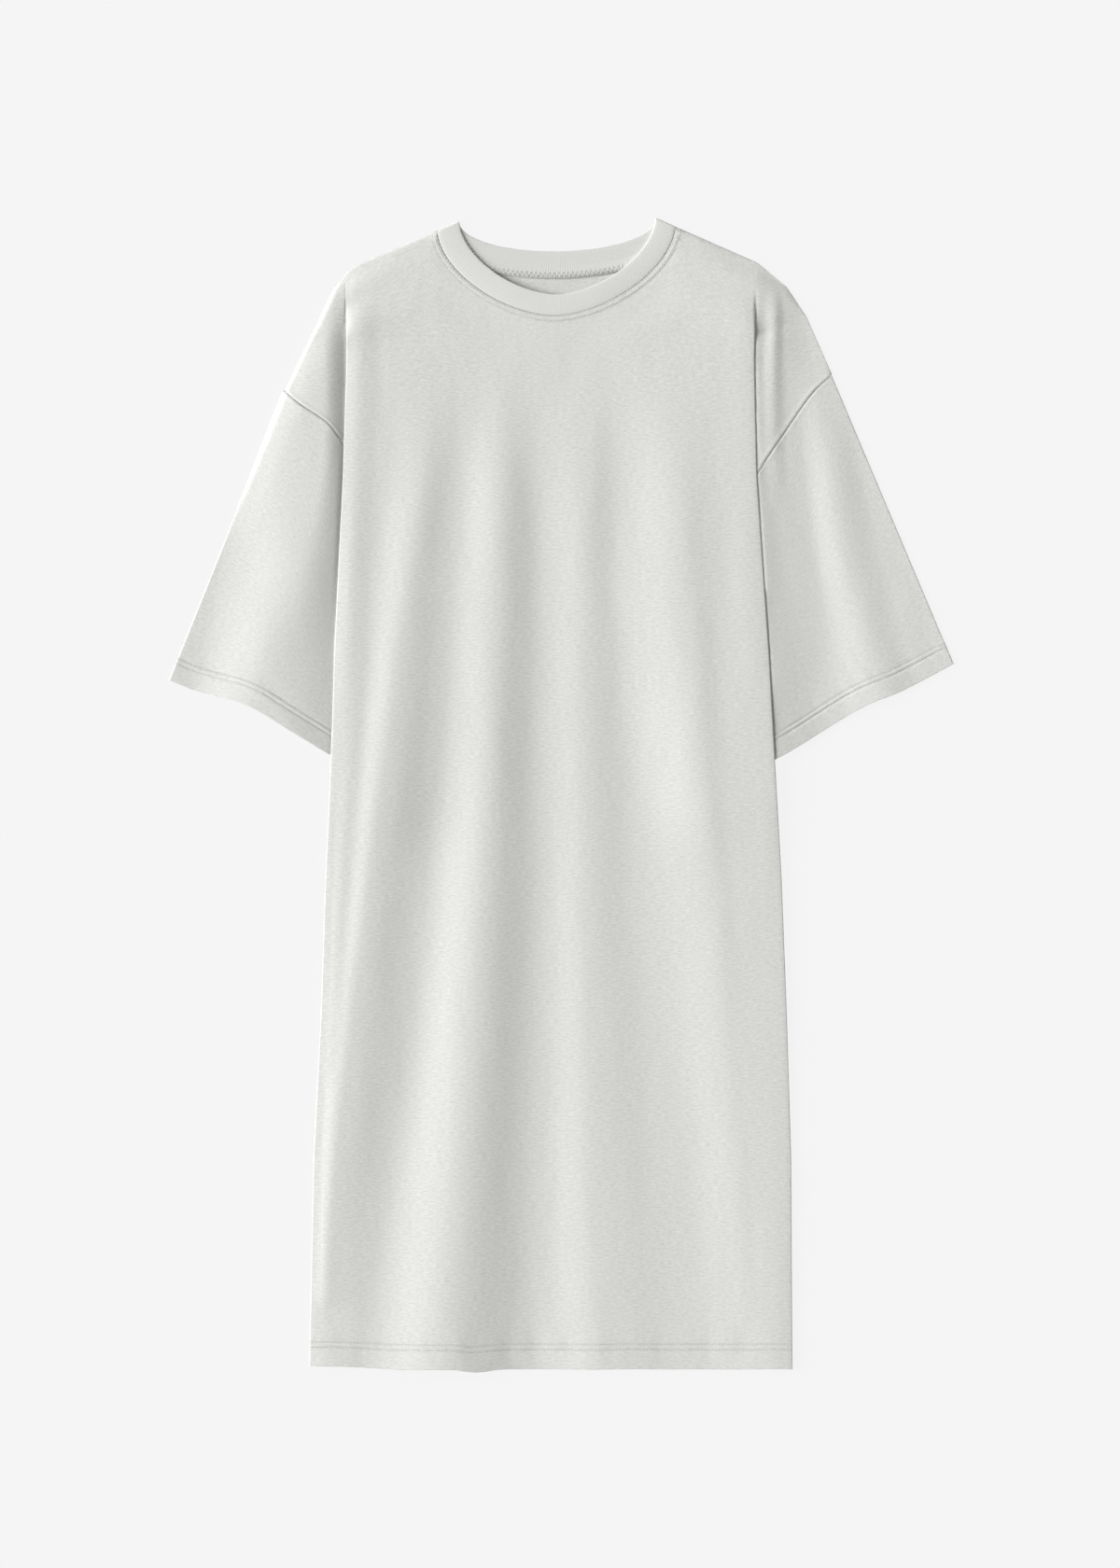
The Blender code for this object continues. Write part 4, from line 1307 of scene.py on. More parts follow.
@dataclass
class Sleeve:
    """One sleeve: a flattened tube from the armhole seam to the turned cuff."""

    form: LaidForm
    hand: Hand
    thickness: float = 0.9
    hem: TurnedEdge = TurnedEdge(
        20.0, (17.6, 22.4), (Ripple(0.42, 11.0, 50.0, 3.0), Ripple(0.25, 27.0, 50.0, 5.0)),
        pucker_reach=15.0)
    uneven: Ripple = Ripple(0.35, 34.0, 70.0, 12.0)
    seam_pucker: Ripple = Ripple(0.25, 10.0, 40.0, 6.0)
    seam_pucker_reach: float = 9.0
    # Steps round, and places of the rings below the seam and above the cuff's edge.
    across_steps: int = 104
    turn_steps: int = 8
    edge_columns: int = 8
    row_step: float = 5.5
    seam_rows: tuple[float, ...] = (0.0, 0.5, 1.0, 1.6, 2.4, 3.4, 4.8, 6.8)
    cuff_rows: tuple[float, ...] = (0.0, 0.6, 1.8, 3.6, 6.0, 9.0, 12.0, 14.5, 16.2, 16.9, 17.6,
                                    18.3, 19.2, 20.6, 21.6, 22.4, 23.2, 24.4, 26.6, 30.0)
    # The gap beside the armhole seam, which is wider at the underarm.
    seam_gap: float = 0.35
    widened: float = 2.0
    widened_share: float = 0.12
    underarm_share: float = 0.905
    tangent_step: float = 0.01
    # The sunk seam, the ridge beside it and the painted shade in the seam.
    ditch_depth: float = 0.5
    ditch_width: float = 0.8
    ridge: float = 0.15
    ridge_away: float = 2.4
    seam_painted_shade: float = 0.3

    def plan_lines(self) -> tuple[list, list]:
        """Where the lines down the sleeve start and end, from the underarm to the outer fold.

        Returns:
            Places at the seam, and places at the cuff.
        """
        side = self.form.sides[self.hand]
        seam, cuff = [], []
        for step in range(self.across_steps + 1):
            share = step / self.across_steps
            down = self.underarm_share * (1.0 - share)
            before, start, after = (curve_point(side.armhole, down + off) for off in
                                    (self.tangent_step, 0.0, -self.tangent_step))
            end = curve_point(side.cuff, share)
            along = (after[0] - before[0], after[1] - before[1])
            square = abs(along[0] * (end[1] - start[1]) - along[1] * (end[0] - start[0]))
            gap = self.seam_gap * (1.0 + self.widened * (1.0 - smooth(share / self.widened_share)))
            off = gap * math.hypot(*along) / square
            seam.append((mix(start[0], end[0], off), mix(start[1], end[1], off)))
            cuff.append(end)
        return seam, cuff

    def distances_down(self) -> list[float]:
        """How far from the seam each ring of the sleeve is.

        Returns:
            Distances along the outer fold.
        """
        length = math.dist(self.form.sides[self.hand].cuff[-1],
                           self.form.sides[self.hand].armhole[0])
        middle = np.arange(self.seam_rows[-1] + self.row_step, length - self.cuff_rows[-1],
                           self.row_step)
        return [*self.seam_rows, *middle, *(length - rise for rise in self.cuff_rows[::-1])]

    def rows(self) -> np.ndarray:
        """Rings of the sleeve from the armhole to the cuff.

        Returns:
            The points by ring.
        """
        seam, cuff = self.plan_lines()
        downs = self.distances_down()
        total = downs[-1]
        made = []
        for down in downs:
            plan = []
            for start, end in zip(seam, cuff):
                length = math.dist(start, end)
                if down < total / 2:
                    share = mix(down / length, down / total, smooth(down / total * 2))
                else:
                    up = total - down
                    share = 1.0 - mix(up / length, up / total, smooth(up / total * 2))
                plan.append((mix(start[0], end[0], share), mix(start[1], end[1], share)))
            made.append(self.ring(plan, down, total - down))
        return np.array(made)

    def ring(self, plan: list, down: float, up: float) -> list:
        """Closed ring of cloth over a line in plan.

        Args:
            plan: Places from the underarm to the outer fold.
            down: Distance from the seam.
            up: Distance from the cuff's edge.

        Returns:
            Points of the front layer, the outer fold, the back layer and the underarm.
        """
        form = self.form
        inset = form.sleeve_space / 2 + self.thickness / 2
        outer = self.step_back(plan[-1], plan[-3], inset)
        under = self.step_back(plan[0], plan[2], inset)
        plan = [under] + plan[2:-2] + [outer]
        relief = form.swell_relief(self.hand, np.array(plan))
        sewn = (self.ridge * hump(down - self.ridge_away, self.ridge_away)
                - self.ditch_depth * math.exp(-(down / self.ditch_width) ** 2)
                - self.hem.groove_depth * self.hem.near_rows(up))
        near_seam = math.exp(-(down / self.seam_pucker_reach) ** 2)
        front, back = [], []
        for index, (x, y) in enumerate(plan):
            inside = (smooth(index / self.edge_columns)
                      * smooth((len(plan) - 1 - index) / self.edge_columns))
            pucker = self.hem.pucker(x + y, up) + near_seam * self.seam_pucker.at(x + y, down)
            extra = (sewn + pucker + self.uneven.at(x, y)) * inside + self.hem.thicker(up)
            front.append((x, y, form.inner_front(self.hand, x, y) + relief[index] + extra))
            back.append((x, y, form.inner_back(self.hand, x, y)))
        made = front + self.turn_over(front[-1], back[-1], plan[-1], plan[-2])
        return made + back[::-1] + self.turn_over(back[0], front[0], plan[0], plan[1])

    @staticmethod
    def step_back(end: tuple, before: tuple, distance: float) -> tuple[float, float]:
        """Move an end point back toward its neighbour."""
        share = distance / math.dist(end, before)
        return (mix(end[0], before[0], share), mix(end[1], before[1], share))

    def turn_over(self, first: tuple, second: tuple, end: tuple, before: tuple) -> list:
        """Points of the half round that joins two layers at a folded edge.

        Args:
            first: End of the layer it starts from.
            second: End of the layer it goes to.
            end: Place of the edge in plan.
            before: Place beside it, further in.

        Returns:
            The points between the two ends.
        """
        length = math.dist(end, before)
        out = ((end[0] - before[0]) / length, (end[1] - before[1]) / length)
        radius = abs(first[2] - second[2]) / 2
        middle = (first[2] + second[2]) / 2
        sign = 1.0 if first[2] > second[2] else -1.0
        made = []
        for step in range(1, self.turn_steps):
            angle = math.pi * step / self.turn_steps
            reach = radius * math.sin(angle)
            made.append((end[0] + out[0] * reach, end[1] + out[1] * reach,
                         middle + sign * radius * math.cos(angle)))
        return made

    def build(self, material: Material) -> Object:
        """Make the sleeve's cloth.

        Args:
            material: The jersey.

        Returns:
            The finished cloth.
        """
        rows = self.rows()
        if self.hand is Hand.LEFT:
            rows = rows[:, ::-1]
        name = f"{self.hand.name.lower()}_sleeve_cloth"
        downs = np.array(self.distances_down())
        # Painted shade in the armhole seam and in the cuff's stitching furrows.
        shade = self.seam_painted_shade * line_shade(downs)
        shade += self.hem.painted_shading * self.hem.near_rows(downs[-1] - downs)
        shade = np.repeat(shade[:, None], rows.shape[1], axis=1)
        return ClothGrid(name, rows, True, self.thickness, material, shade).build()


@dataclass
class Neckband:
    """Folded rib band round the neck, with its seam allowance inside the body."""

    form: LaidForm
    # Share of the way round that each shoulder's turn takes, and the room it needs.
    shoulder_turn: float = 0.012
    corner_clear: float = 0.3
    # The seam allowance, which ends short of the shoulders.
    lip_width: float = 8.0
    lip_start: float = 0.3
    back_lift: float = 0.34
    # Painted shade on the inside of the back band, in the front's shade.
    reverse_shade: float = 0.03
    # Steps round, and the point of a section whose path round the neck the ribs follow.
    front_steps: int = 150
    back_steps: int = 110
    turn_steps: int = 12
    middle_point: int = 14

    def profile(self, width: float, lip: float) -> list[tuple[float, float]]:
        """Section of the folded band.

        Args:
            width: Width of the band that shows.
            lip: How much of the seam allowance is there, 0 to 1.

        Returns:
            Place across from the edge, and height from the middle.
        """
        seam = width - 0.12 * (1.0 + self.corner_clear * (1.0 - lip))
        hidden = seam + max(self.lip_width * lip, 0.05)
        # Round the fold, across the top, down at the seam, round the allowance and back inside.
        fold = [(1.0 - math.cos(a), -0.4 + 1.0 * math.sin(a))
                for a in np.linspace(-math.pi / 2, math.pi / 2, 9)]
        top = [(mix(1.0, seam - 0.9, share), 0.6 + 0.32 * math.sin(math.pi * share) ** 0.6)
               for share in np.linspace(0.0, 1.0, 10)[1:]]
        edge = [(seam - 0.35, 0.45), (seam - 0.08, 0.1), (seam, -0.3), (seam, -0.9)]
        lip_points = [(mix(seam, hidden, 0.5), -0.9), (hidden - 0.02, -0.95), (hidden, -1.3),
                      (hidden - 0.02, -1.65), (mix(seam, hidden, 0.5), -1.75),
                      (seam - 0.6, -1.7), (seam - 1.6, -1.45)]
        inner = [(mix(seam - 1.6, 1.0, share), -1.45 + 0.05 * share)
                 for share in (0.25, 0.5, 0.75)]
        return fold + top + edge + lip_points + inner

    def rings(self) -> list:
        """All the sections of the band.

        Returns:
            Sections round the front, over the right shoulder, round the back and over the left one.
        """
        back_z = self.form.floor_middle + self.back_lift
        made = []
        for face, steps, way in ((Face.FRONT, self.front_steps, 1.0),
                                 (Face.BACK, self.back_steps, -1.0)):
            inner, outer = self.form.neck[face]
            shares = np.linspace(self.shoulder_turn, 1.0 - self.shoulder_turn, steps)
            for share in shares[::1 if way > 0 else -1]:
                edge, seam = inner.at(share), outer.at(share)
                lip = smooth((math.sin(math.pi * share) - self.lip_start) / self.lip_start)
                level = self.form.neck_level(share) if way > 0 else back_z
                made.append(self.flat_ring(edge, seam, lip, level, way))
            made += self.shoulder_rings(way, back_z)
        return made

    def flat_ring(self, edge: tuple, seam: tuple, lip: float, level: float, way: float) -> list:
        """Section where the band lies flat.

        Args:
            edge: Place of the band's edge.
            seam: Place of the neck seam.
            lip: How much of the seam allowance is there.
            level: Height of the band's middle.
            way: 1 if it faces up, and -1 if it faces down.

        Returns:
            Points of the section.
        """
        width = math.dist(edge, seam)
        return [(mix(edge[0], seam[0], across / width), mix(edge[1], seam[1], across / width),
                 level + way * normal) for across, normal in self.profile(width, lip)]

    def shoulder_rings(self, way: float, back_z: float) -> list:
        """Sections as the band turns over at a shoulder.

        Args:
            way: 1 from front to back, and -1 from back to front.
            back_z: Height of the back's band.

        Returns:
            The sections between the two.
        """
        share = 1.0 - self.shoulder_turn if way > 0 else self.shoulder_turn
        ends = [tuple(curve.at(share) for curve in self.form.neck[face])
                for face in (Face.FRONT, Face.BACK)]
        if way < 0:
            ends.reverse()
        front_z = self.form.neck_level(self.shoulder_turn)
        made = []
        for step in range(1, self.turn_steps + 1):
            part = step / (self.turn_steps + 1)
            angle = math.pi * part
            edge = tuple(mix(a, b, part) for a, b in zip(ends[0][0], ends[1][0]))
            seam = tuple(mix(a, b, part) for a, b in zip(ends[0][1], ends[1][1]))
            width = math.dist(edge, seam)
            ring = []
            for across, normal in self.profile(width, 0.0):
                swing = (front_z - back_z) / 2 + normal
                ring.append((mix(edge[0], seam[0], across / width),
                             mix(edge[1], seam[1], across / width) + swing * math.sin(angle),
                             (front_z + back_z) / 2 + way * swing * math.cos(angle)))
            made.append(ring)
        return made

    def build(self, material: Material) -> Object:
        """Make the band as one closed ring of cloth.

        Args:
            material: The rib.

        Returns:
            The finished band.
        """
        rings = np.array(self.rings())
        count, across = rings.shape[:2]
        faces = []
        for ring in range(count):
            here, there = ring * across, (ring + 1) % count * across
            for index in range(across):
                after = (index + 1) % across
                faces.append((here + index, here + after, there + after, there + index))
        around, along = (
            np.concatenate([[0.0], np.cumsum(np.linalg.norm(np.diff(line, axis=0), axis=1))]) * MM
            for line in (rings[:, self.middle_point], rings[0]))
        places = np.stack(np.meshgrid(around, along, indexing="ij"), axis=2).reshape(-1, 2)
        band = cloth_piece("rib_neckband", rings.reshape(-1, 3), faces, places, material)
        first = (self.front_steps + self.turn_steps // 2) * across
        last = (count - self.turn_steps // 2) * across
        # Painted shade on the inside of the back band, which faces up through the neck.
        mark(band.data, "reverse_shade", "FACE",
             [self.reverse_shade * (face.normal.z > 0.0 and first < face.index < last)
              for face in band.data.polygons])
        return band


def add_node(tree: NodeTree, kind: str, settings: dict | None = None,
             links: dict | None = None) -> Node:
    """Add a node with its settings, socket values and links.

    Args:
        tree: The node tree.
        kind: The node's type name.
        settings: Properties of the node, or values of its inputs where the key is one.
        links: Output sockets to join to its inputs, by input name or number.

    Returns:
        The new node.
    """
    node = tree.nodes.new(kind)
    for key, value in (settings or {}).items():
        if isinstance(key, str) and hasattr(node, key):
            setattr(node, key, value)
        else:
            node.inputs[key].default_value = value
    for key, source in (links or {}).items():
        tree.links.new(source, node.inputs[key])
    return node


def new_material(name: str, **inputs: float | tuple) -> tuple[Material, NodeTree, NodeInputs]:
    """Start a material from its shader's plain values.

    Args:
        name: Its name.
        inputs: Values of the shader's inputs, with underscores for spaces.

    Returns:
        The material, its tree and the inputs of its shader.
    """
    material = bpy.data.materials.new(name)
    material.use_nodes = True
    shader = material.node_tree.nodes["Principled BSDF"]
    for key, value in inputs.items():
        shader.inputs[key.replace("_", " ")].default_value = value
    return material, material.node_tree, shader.inputs


def knit_look(tree: NodeTree, inputs: NodeInputs, colours: tuple[str, str],
              share: NodeSocket, layers: tuple) -> None:
    """Give a knit its colour, with painted shade in the seam lines and on its reverse, and its
    relief.

    Args:
        tree: The material's tree.
        inputs: The inputs of its shader.
        colours: The two colours that the share mixes. For the rib, the first is painted shade for
            its grooves.
        share: How much of the second colour there is.
        layers: Pattern, strength and depth in millimetres of each layer of relief.
    """
    add = partial(add_node, tree)
    mixed = add("ShaderNodeMix",
                {"data_type": "RGBA", 6: linear(colours[0]), 7: linear(colours[1])}, {0: share})
    # Painted shade: the numbers marked on the mesh darken seam lines and the reverse toward SHADOW.
    seams = add("ShaderNodeAttribute", {"attribute_name": "seam_shade"})
    reverse = add("ShaderNodeAttribute", {"attribute_name": "reverse_shade"})
    total = add("ShaderNodeMath", {"operation": "ADD"},
                {0: seams.outputs["Fac"], 1: reverse.outputs["Fac"]})
    painted_shading = add("ShaderNodeMix", {"data_type": "RGBA", 7: SHADOW},
               {0: total.outputs[0], 6: mixed.outputs[2]})
    tree.links.new(painted_shading.outputs[2], inputs["Base Color"])
    below = {}
    for pattern, strength, depth in layers:
        bump = add("ShaderNodeBump", {"Strength": strength, "Distance": depth * MM},
                   {"Height": pattern, **below})
        below = {"Normal": bump.outputs[0]}
    tree.links.new(bump.outputs[0], inputs["Normal"])


@dataclass(frozen=True)
class JerseyFinish:
    """Combed cotton single jersey: matte, with faint streaks along its courses."""

    name: str = "cotton_jersey"
    colour: str = "#ECECEA"
    streak_colour: str = "#D7D7D4"
    roughness: float = 0.92
    streak_mm: float = 7.0
    course_mm: float = 1.0
    fibre_mm: float = 1.6
    grain_mm: float = 2.0
    mottle_mm: float = 24.0
    streak_depth_mm: float = 0.1
    fibre_depth_mm: float = 0.1
    mottle_depth_mm: float = 0.5
    tone_range: tuple[float, float] = (0.74, 1.26)

    def make(self) -> Material:
        """Build the material on the cloth's flat places.

        Returns:
            The jersey.
        """
        material, tree, inputs = new_material(self.name, Roughness=self.roughness, **COTTON)
        add = partial(add_node, tree)
        flat = add("ShaderNodeUVMap", {"uv_map": "flat_cut"})
        # Streaks run along the courses, which gives the eye the heather look of the yarn.
        courses = add("ShaderNodeMapping",
                      {"Scale": (1 / (self.streak_mm * MM), 1 / (self.course_mm * MM), 1.0)},
                      {"Vector": flat.outputs[0]})
        streaks = add("ShaderNodeTexNoise", {"Scale": 1.0, "Detail": 3.0, "Roughness": 0.65},
                      {"Vector": courses.outputs[0]})
        fibres = add("ShaderNodeTexNoise", {"Scale": 1 / (self.fibre_mm * MM), "Detail": 2.0},
                     {"Vector": flat.outputs[0]})
        mottle = add("ShaderNodeTexNoise", {"Scale": 1 / (self.mottle_mm * MM), "Detail": 2.0},
                     {"Vector": flat.outputs[0]})
        # Light and dark fibres give the eye its grain. Real ones are far finer, and are drawn
        # this coarse so that they show.
        specks = add("ShaderNodeMapping",
                     {"Scale": (0.5 / (self.grain_mm * MM), 1 / (self.grain_mm * MM), 1.0)},
                     {"Vector": flat.outputs[0]})
        grain = add("ShaderNodeTexNoise", {"Scale": 1.0, "Detail": 2.0, "Roughness": 0.7},
                    {"Vector": specks.outputs[0]})
        both = add("ShaderNodeMath", {"operation": "ADD"},
                   {0: streaks.outputs[0], 1: grain.outputs[0]})
        low, high = self.tone_range
        tone = add("ShaderNodeMapRange", {"From Min": low, "From Max": high},
                   {"Value": both.outputs[0]})
        knit_look(tree, inputs, (self.colour, self.streak_colour), tone.outputs[0],
                  ((streaks.outputs[0], 0.25, self.streak_depth_mm),
                   (fibres.outputs[0], 0.35, self.fibre_depth_mm),
                   (mottle.outputs[0], 0.5, self.mottle_depth_mm)))
        return material


@dataclass(frozen=True)
class RibFinish:
    """One by one cotton rib: fine ribs across the band, matte, with painted shade in its grooves.
    """

    name: str = "cotton_rib"
    colour: str = "#E9E9E7"
    # Painted shade in the grooves between the ribs.
    painted_groove_shade: str = "#DFDFDC"
    roughness: float = 0.95
    rib_mm: float = 2.2
    rib_depth_mm: float = 0.18
    fibre_mm: float = 1.3
    fibre_depth_mm: float = 0.1

    def make(self) -> Material:
        """Build the material along the band.

        Real ribs are 1.3 mm apart, and are drawn coarser here so that they show.

        Returns:
            The rib.
        """
        material, tree, inputs = new_material(self.name, Roughness=self.roughness, **COTTON)
        add = partial(add_node, tree)
        flat = add("ShaderNodeUVMap", {"uv_map": "flat_cut"})
        ribs = add("ShaderNodeTexWave",
                   {"wave_type": "BANDS", "bands_direction": "X", "Distortion": 0.35, "Detail": 1.0,
                    "Detail Scale": 2.0, "Scale": math.tau / 20 / (self.rib_mm * MM)},
                   {"Vector": flat.outputs[0]})
        fibres = add("ShaderNodeTexNoise", {"Scale": 1 / (self.fibre_mm * MM), "Detail": 2.0},
                     {"Vector": flat.outputs[0]})
        knit_look(tree, inputs, (self.painted_groove_shade, self.colour), ribs.outputs[1],
                  ((ribs.outputs[1], 0.4, self.rib_depth_mm),
                   (fibres.outputs[0], 0.35, self.fibre_depth_mm)))
        return material


@dataclass(frozen=True)
class ThreadFinish:
    """Spun polyester sewing thread, a little smoother and brighter than the cloth."""

    name: str = "sewing_thread"
    colour: str = "#F0F0EC"
    dark_colour: str = "#DEDEDA"
    roughness: float = 0.6
    twist_mm: float = 0.5

    def make(self) -> Material:
        """Build the thread's material, with the faint twist of its strands.

        Returns:
            The thread.
        """
        material, tree, inputs = new_material(self.name, Roughness=self.roughness,
                                              Specular_IOR_Level=0.35)
        add = partial(add_node, tree)
        place = add("ShaderNodeTexCoord")
        twist = add("ShaderNodeTexNoise", {"Scale": 1 / (self.twist_mm * MM), "Detail": 1.0},
                    {"Vector": place.outputs["Object"]})
        colour = add("ShaderNodeMix", {"data_type": "RGBA", 6: linear(self.colour),
                                       7: linear(self.dark_colour)}, {0: twist.outputs[0]})
        tree.links.new(colour.outputs[2], inputs["Base Color"])
        return material


class StitchKind(Enum):
    """How a row of sewing looks on the side that shows."""

    LOCK = "lock"
    COVER = "cover"


@dataclass
class StitchRun:
    """Rows of stitches along lines on the cloth, laid by Geometry Nodes."""

    name: str
    paths: list
    kind: StitchKind
    material: Material
    pitch: float = 3.3
    stitch: float = 2.5
    thread: float = 0.5
    width: float = 5.2

    def tree(self) -> NodeTree:
        """Node tree that resamples the lines and lays thread on them.

        Returns:
            The tree, with its sizes as named inputs.
        """
        tree = bpy.data.node_groups.new(f"{self.kind.value}_stitches", "GeometryNodeTree")
        face = tree.interface
        face.new_socket("Geometry", in_out="INPUT", socket_type="NodeSocketGeometry")
        for label in ("Pitch", "Stitch", "Thread", "Width"):
            face.new_socket(label, in_out="INPUT", socket_type="NodeSocketFloat")
        face.new_socket("Finish", in_out="INPUT", socket_type="NodeSocketMaterial")
        face.new_socket("Geometry", in_out="OUTPUT", socket_type="NodeSocketGeometry")
        add = partial(add_node, tree)
        given = add("NodeGroupInput").outputs
        curve = add("GeometryNodeMeshToCurve", links={0: given["Geometry"]})
        laid = self.lock_nodes if self.kind is StitchKind.LOCK else self.cover_nodes
        solid = add("GeometryNodeRealizeInstances", links={0: laid(add, given, curve)})
        finish = add("GeometryNodeSetMaterial",
                     links={"Geometry": solid.outputs[0], "Material": given["Finish"]})
        add("NodeGroupOutput", links={0: finish.outputs[0]})
        return tree

    @staticmethod
    def lock_nodes(add: Callable[..., Node], given: NodeOutputs, curve: Node) -> NodeSocket:
        """Short rounded stitches, one after another.

        Args:
            add: Adds a node to the group's tree.
            given: The group's inputs.
            curve: The node that gives the lines.

        Returns:
            The stitches.
        """
        points = add("GeometryNodeResampleCurve", {"mode": "LENGTH"},
                     {"Curve": curve.outputs[0], "Length": given["Pitch"]})
        ball = add("GeometryNodeMeshUVSphere", {"Segments": 6, "Rings": 4, "Radius": 0.5})
        size = add("ShaderNodeCombineXYZ",
                   links={0: given["Stitch"], 1: given["Thread"], 2: given["Thread"]})
        tangent = add("GeometryNodeInputTangent")
        facing = add("FunctionNodeAlignRotationToVector", {"axis": "X"},
                     {"Vector": tangent.outputs[0]})
        laid = add("GeometryNodeInstanceOnPoints",
                   links={"Points": points.outputs[0], "Instance": ball.outputs[0],
                          "Rotation": facing.outputs[0], "Scale": size.outputs[0]})
        return laid.outputs[0]

    @staticmethod
    def cover_nodes(add: Callable[..., Node], given: NodeOutputs, curve: Node) -> NodeSocket:
        """One looping thread that goes from side to side between the needle rows.

        Args:
            add: Adds a node to the group's tree.
            given: The group's inputs.
            curve: The node that gives the lines.

        Returns:
            The thread.
        """
        half = add("ShaderNodeMath", {"operation": "MULTIPLY", 1: 0.5}, {0: given["Pitch"]})
        points = add("GeometryNodeResampleCurve", {"mode": "LENGTH"},
                     {"Curve": curve.outputs[0], "Length": half.outputs[0]})
        number = add("GeometryNodeInputIndex")
        parity = add("ShaderNodeMath", {"operation": "MODULO", 1: 2.0}, {0: number.outputs[0]})
        side = add("ShaderNodeMath", {"operation": "SUBTRACT", 1: 0.5}, {0: parity.outputs[0]})
        reach = add("ShaderNodeMath", {"operation": "MULTIPLY"},
                    {0: side.outputs[0], 1: given["Width"]})
        tangent = add("GeometryNodeInputTangent")
        across = add("ShaderNodeVectorMath", {"operation": "CROSS_PRODUCT", 1: (0.0, 0.0, 1.0)},
                     {0: tangent.outputs[0]})
        shift = add("ShaderNodeVectorMath", {"operation": "SCALE"},
                    {0: across.outputs[0], "Scale": reach.outputs[0]})
        moved = add("GeometryNodeSetPosition",
                    links={"Geometry": points.outputs[0], "Offset": shift.outputs[0]})
        radius = add("ShaderNodeMath", {"operation": "MULTIPLY", 1: 0.5}, {0: given["Thread"]})
        circle = add("GeometryNodeCurvePrimitiveCircle", {"Resolution": 5},
                     {"Radius": radius.outputs[0]})
        thread = add("GeometryNodeCurveToMesh", {"Fill Caps": True},
                     {"Curve": moved.outputs[0], "Profile Curve": circle.outputs[0]})
        return thread.outputs[0]

    def build(self) -> Object:
        """Lay the stitches and turn them into a plain mesh.

        Returns:
            The finished sewing.
        """
        mesh = bpy.data.meshes.new(self.name)
        points, edges = [], []
        for path in self.paths:
            start = len(points)
            points += [tuple(point) for point in path]
            edges += [(start + i, start + i + 1) for i in range(len(path) - 1)]
        mesh.from_pydata(points, edges, [])
        run = bpy.data.objects.new(self.name, mesh)
        bpy.context.scene.collection.objects.link(run)
        layer = run.modifiers.new("stitches", "NODES")
        layer.node_group = self.tree()
        sizes = {"Pitch": self.pitch * MM, "Stitch": self.stitch * MM,
                 "Thread": self.thread * MM, "Width": self.width * MM, "Finish": self.material}
        for socket in layer.node_group.interface.items_tree:
            if socket.in_out == "INPUT" and socket.name in sizes:
                layer[socket.identifier] = sizes[socket.name]
        return settled(run)


@dataclass
class Surface:
    """The top or the underside of a finished piece, for laying lines on it."""

    piece: Object
    from_above: bool = True
    tree: BVHTree = field(init=False, repr=False)

    def __post_init__(self) -> None:
        """Read the piece's faces once."""
        mesh = self.piece.data
        self.tree = BVHTree.FromPolygons([v.co for v in mesh.vertices],
                                         [tuple(p.vertices) for p in mesh.polygons])

    def lay(self, plan: list, lift: float, highest: float = 50.0) -> list:
        """Drop places in plan onto the piece.

        Args:
            plan: Places in millimetres.
            lift: How far off the cloth the line lies.
            highest: Places met above this height are left out.

        Returns:
            Points in metres, where the piece was met.
        """
        way = 1.0 if self.from_above else -1.0
        made = []
        for x, y in plan:
            start = Vector((x * MM, (y - CENTRE_Y) * MM, 0.2 * way))
            hit = self.tree.ray_cast(start, Vector((0.0, 0.0, -way)))
            if hit[0] is not None and hit[0].z < highest * MM:
                made.append(hit[0] + Vector((0.0, 0.0, way * lift * MM)))
        return made


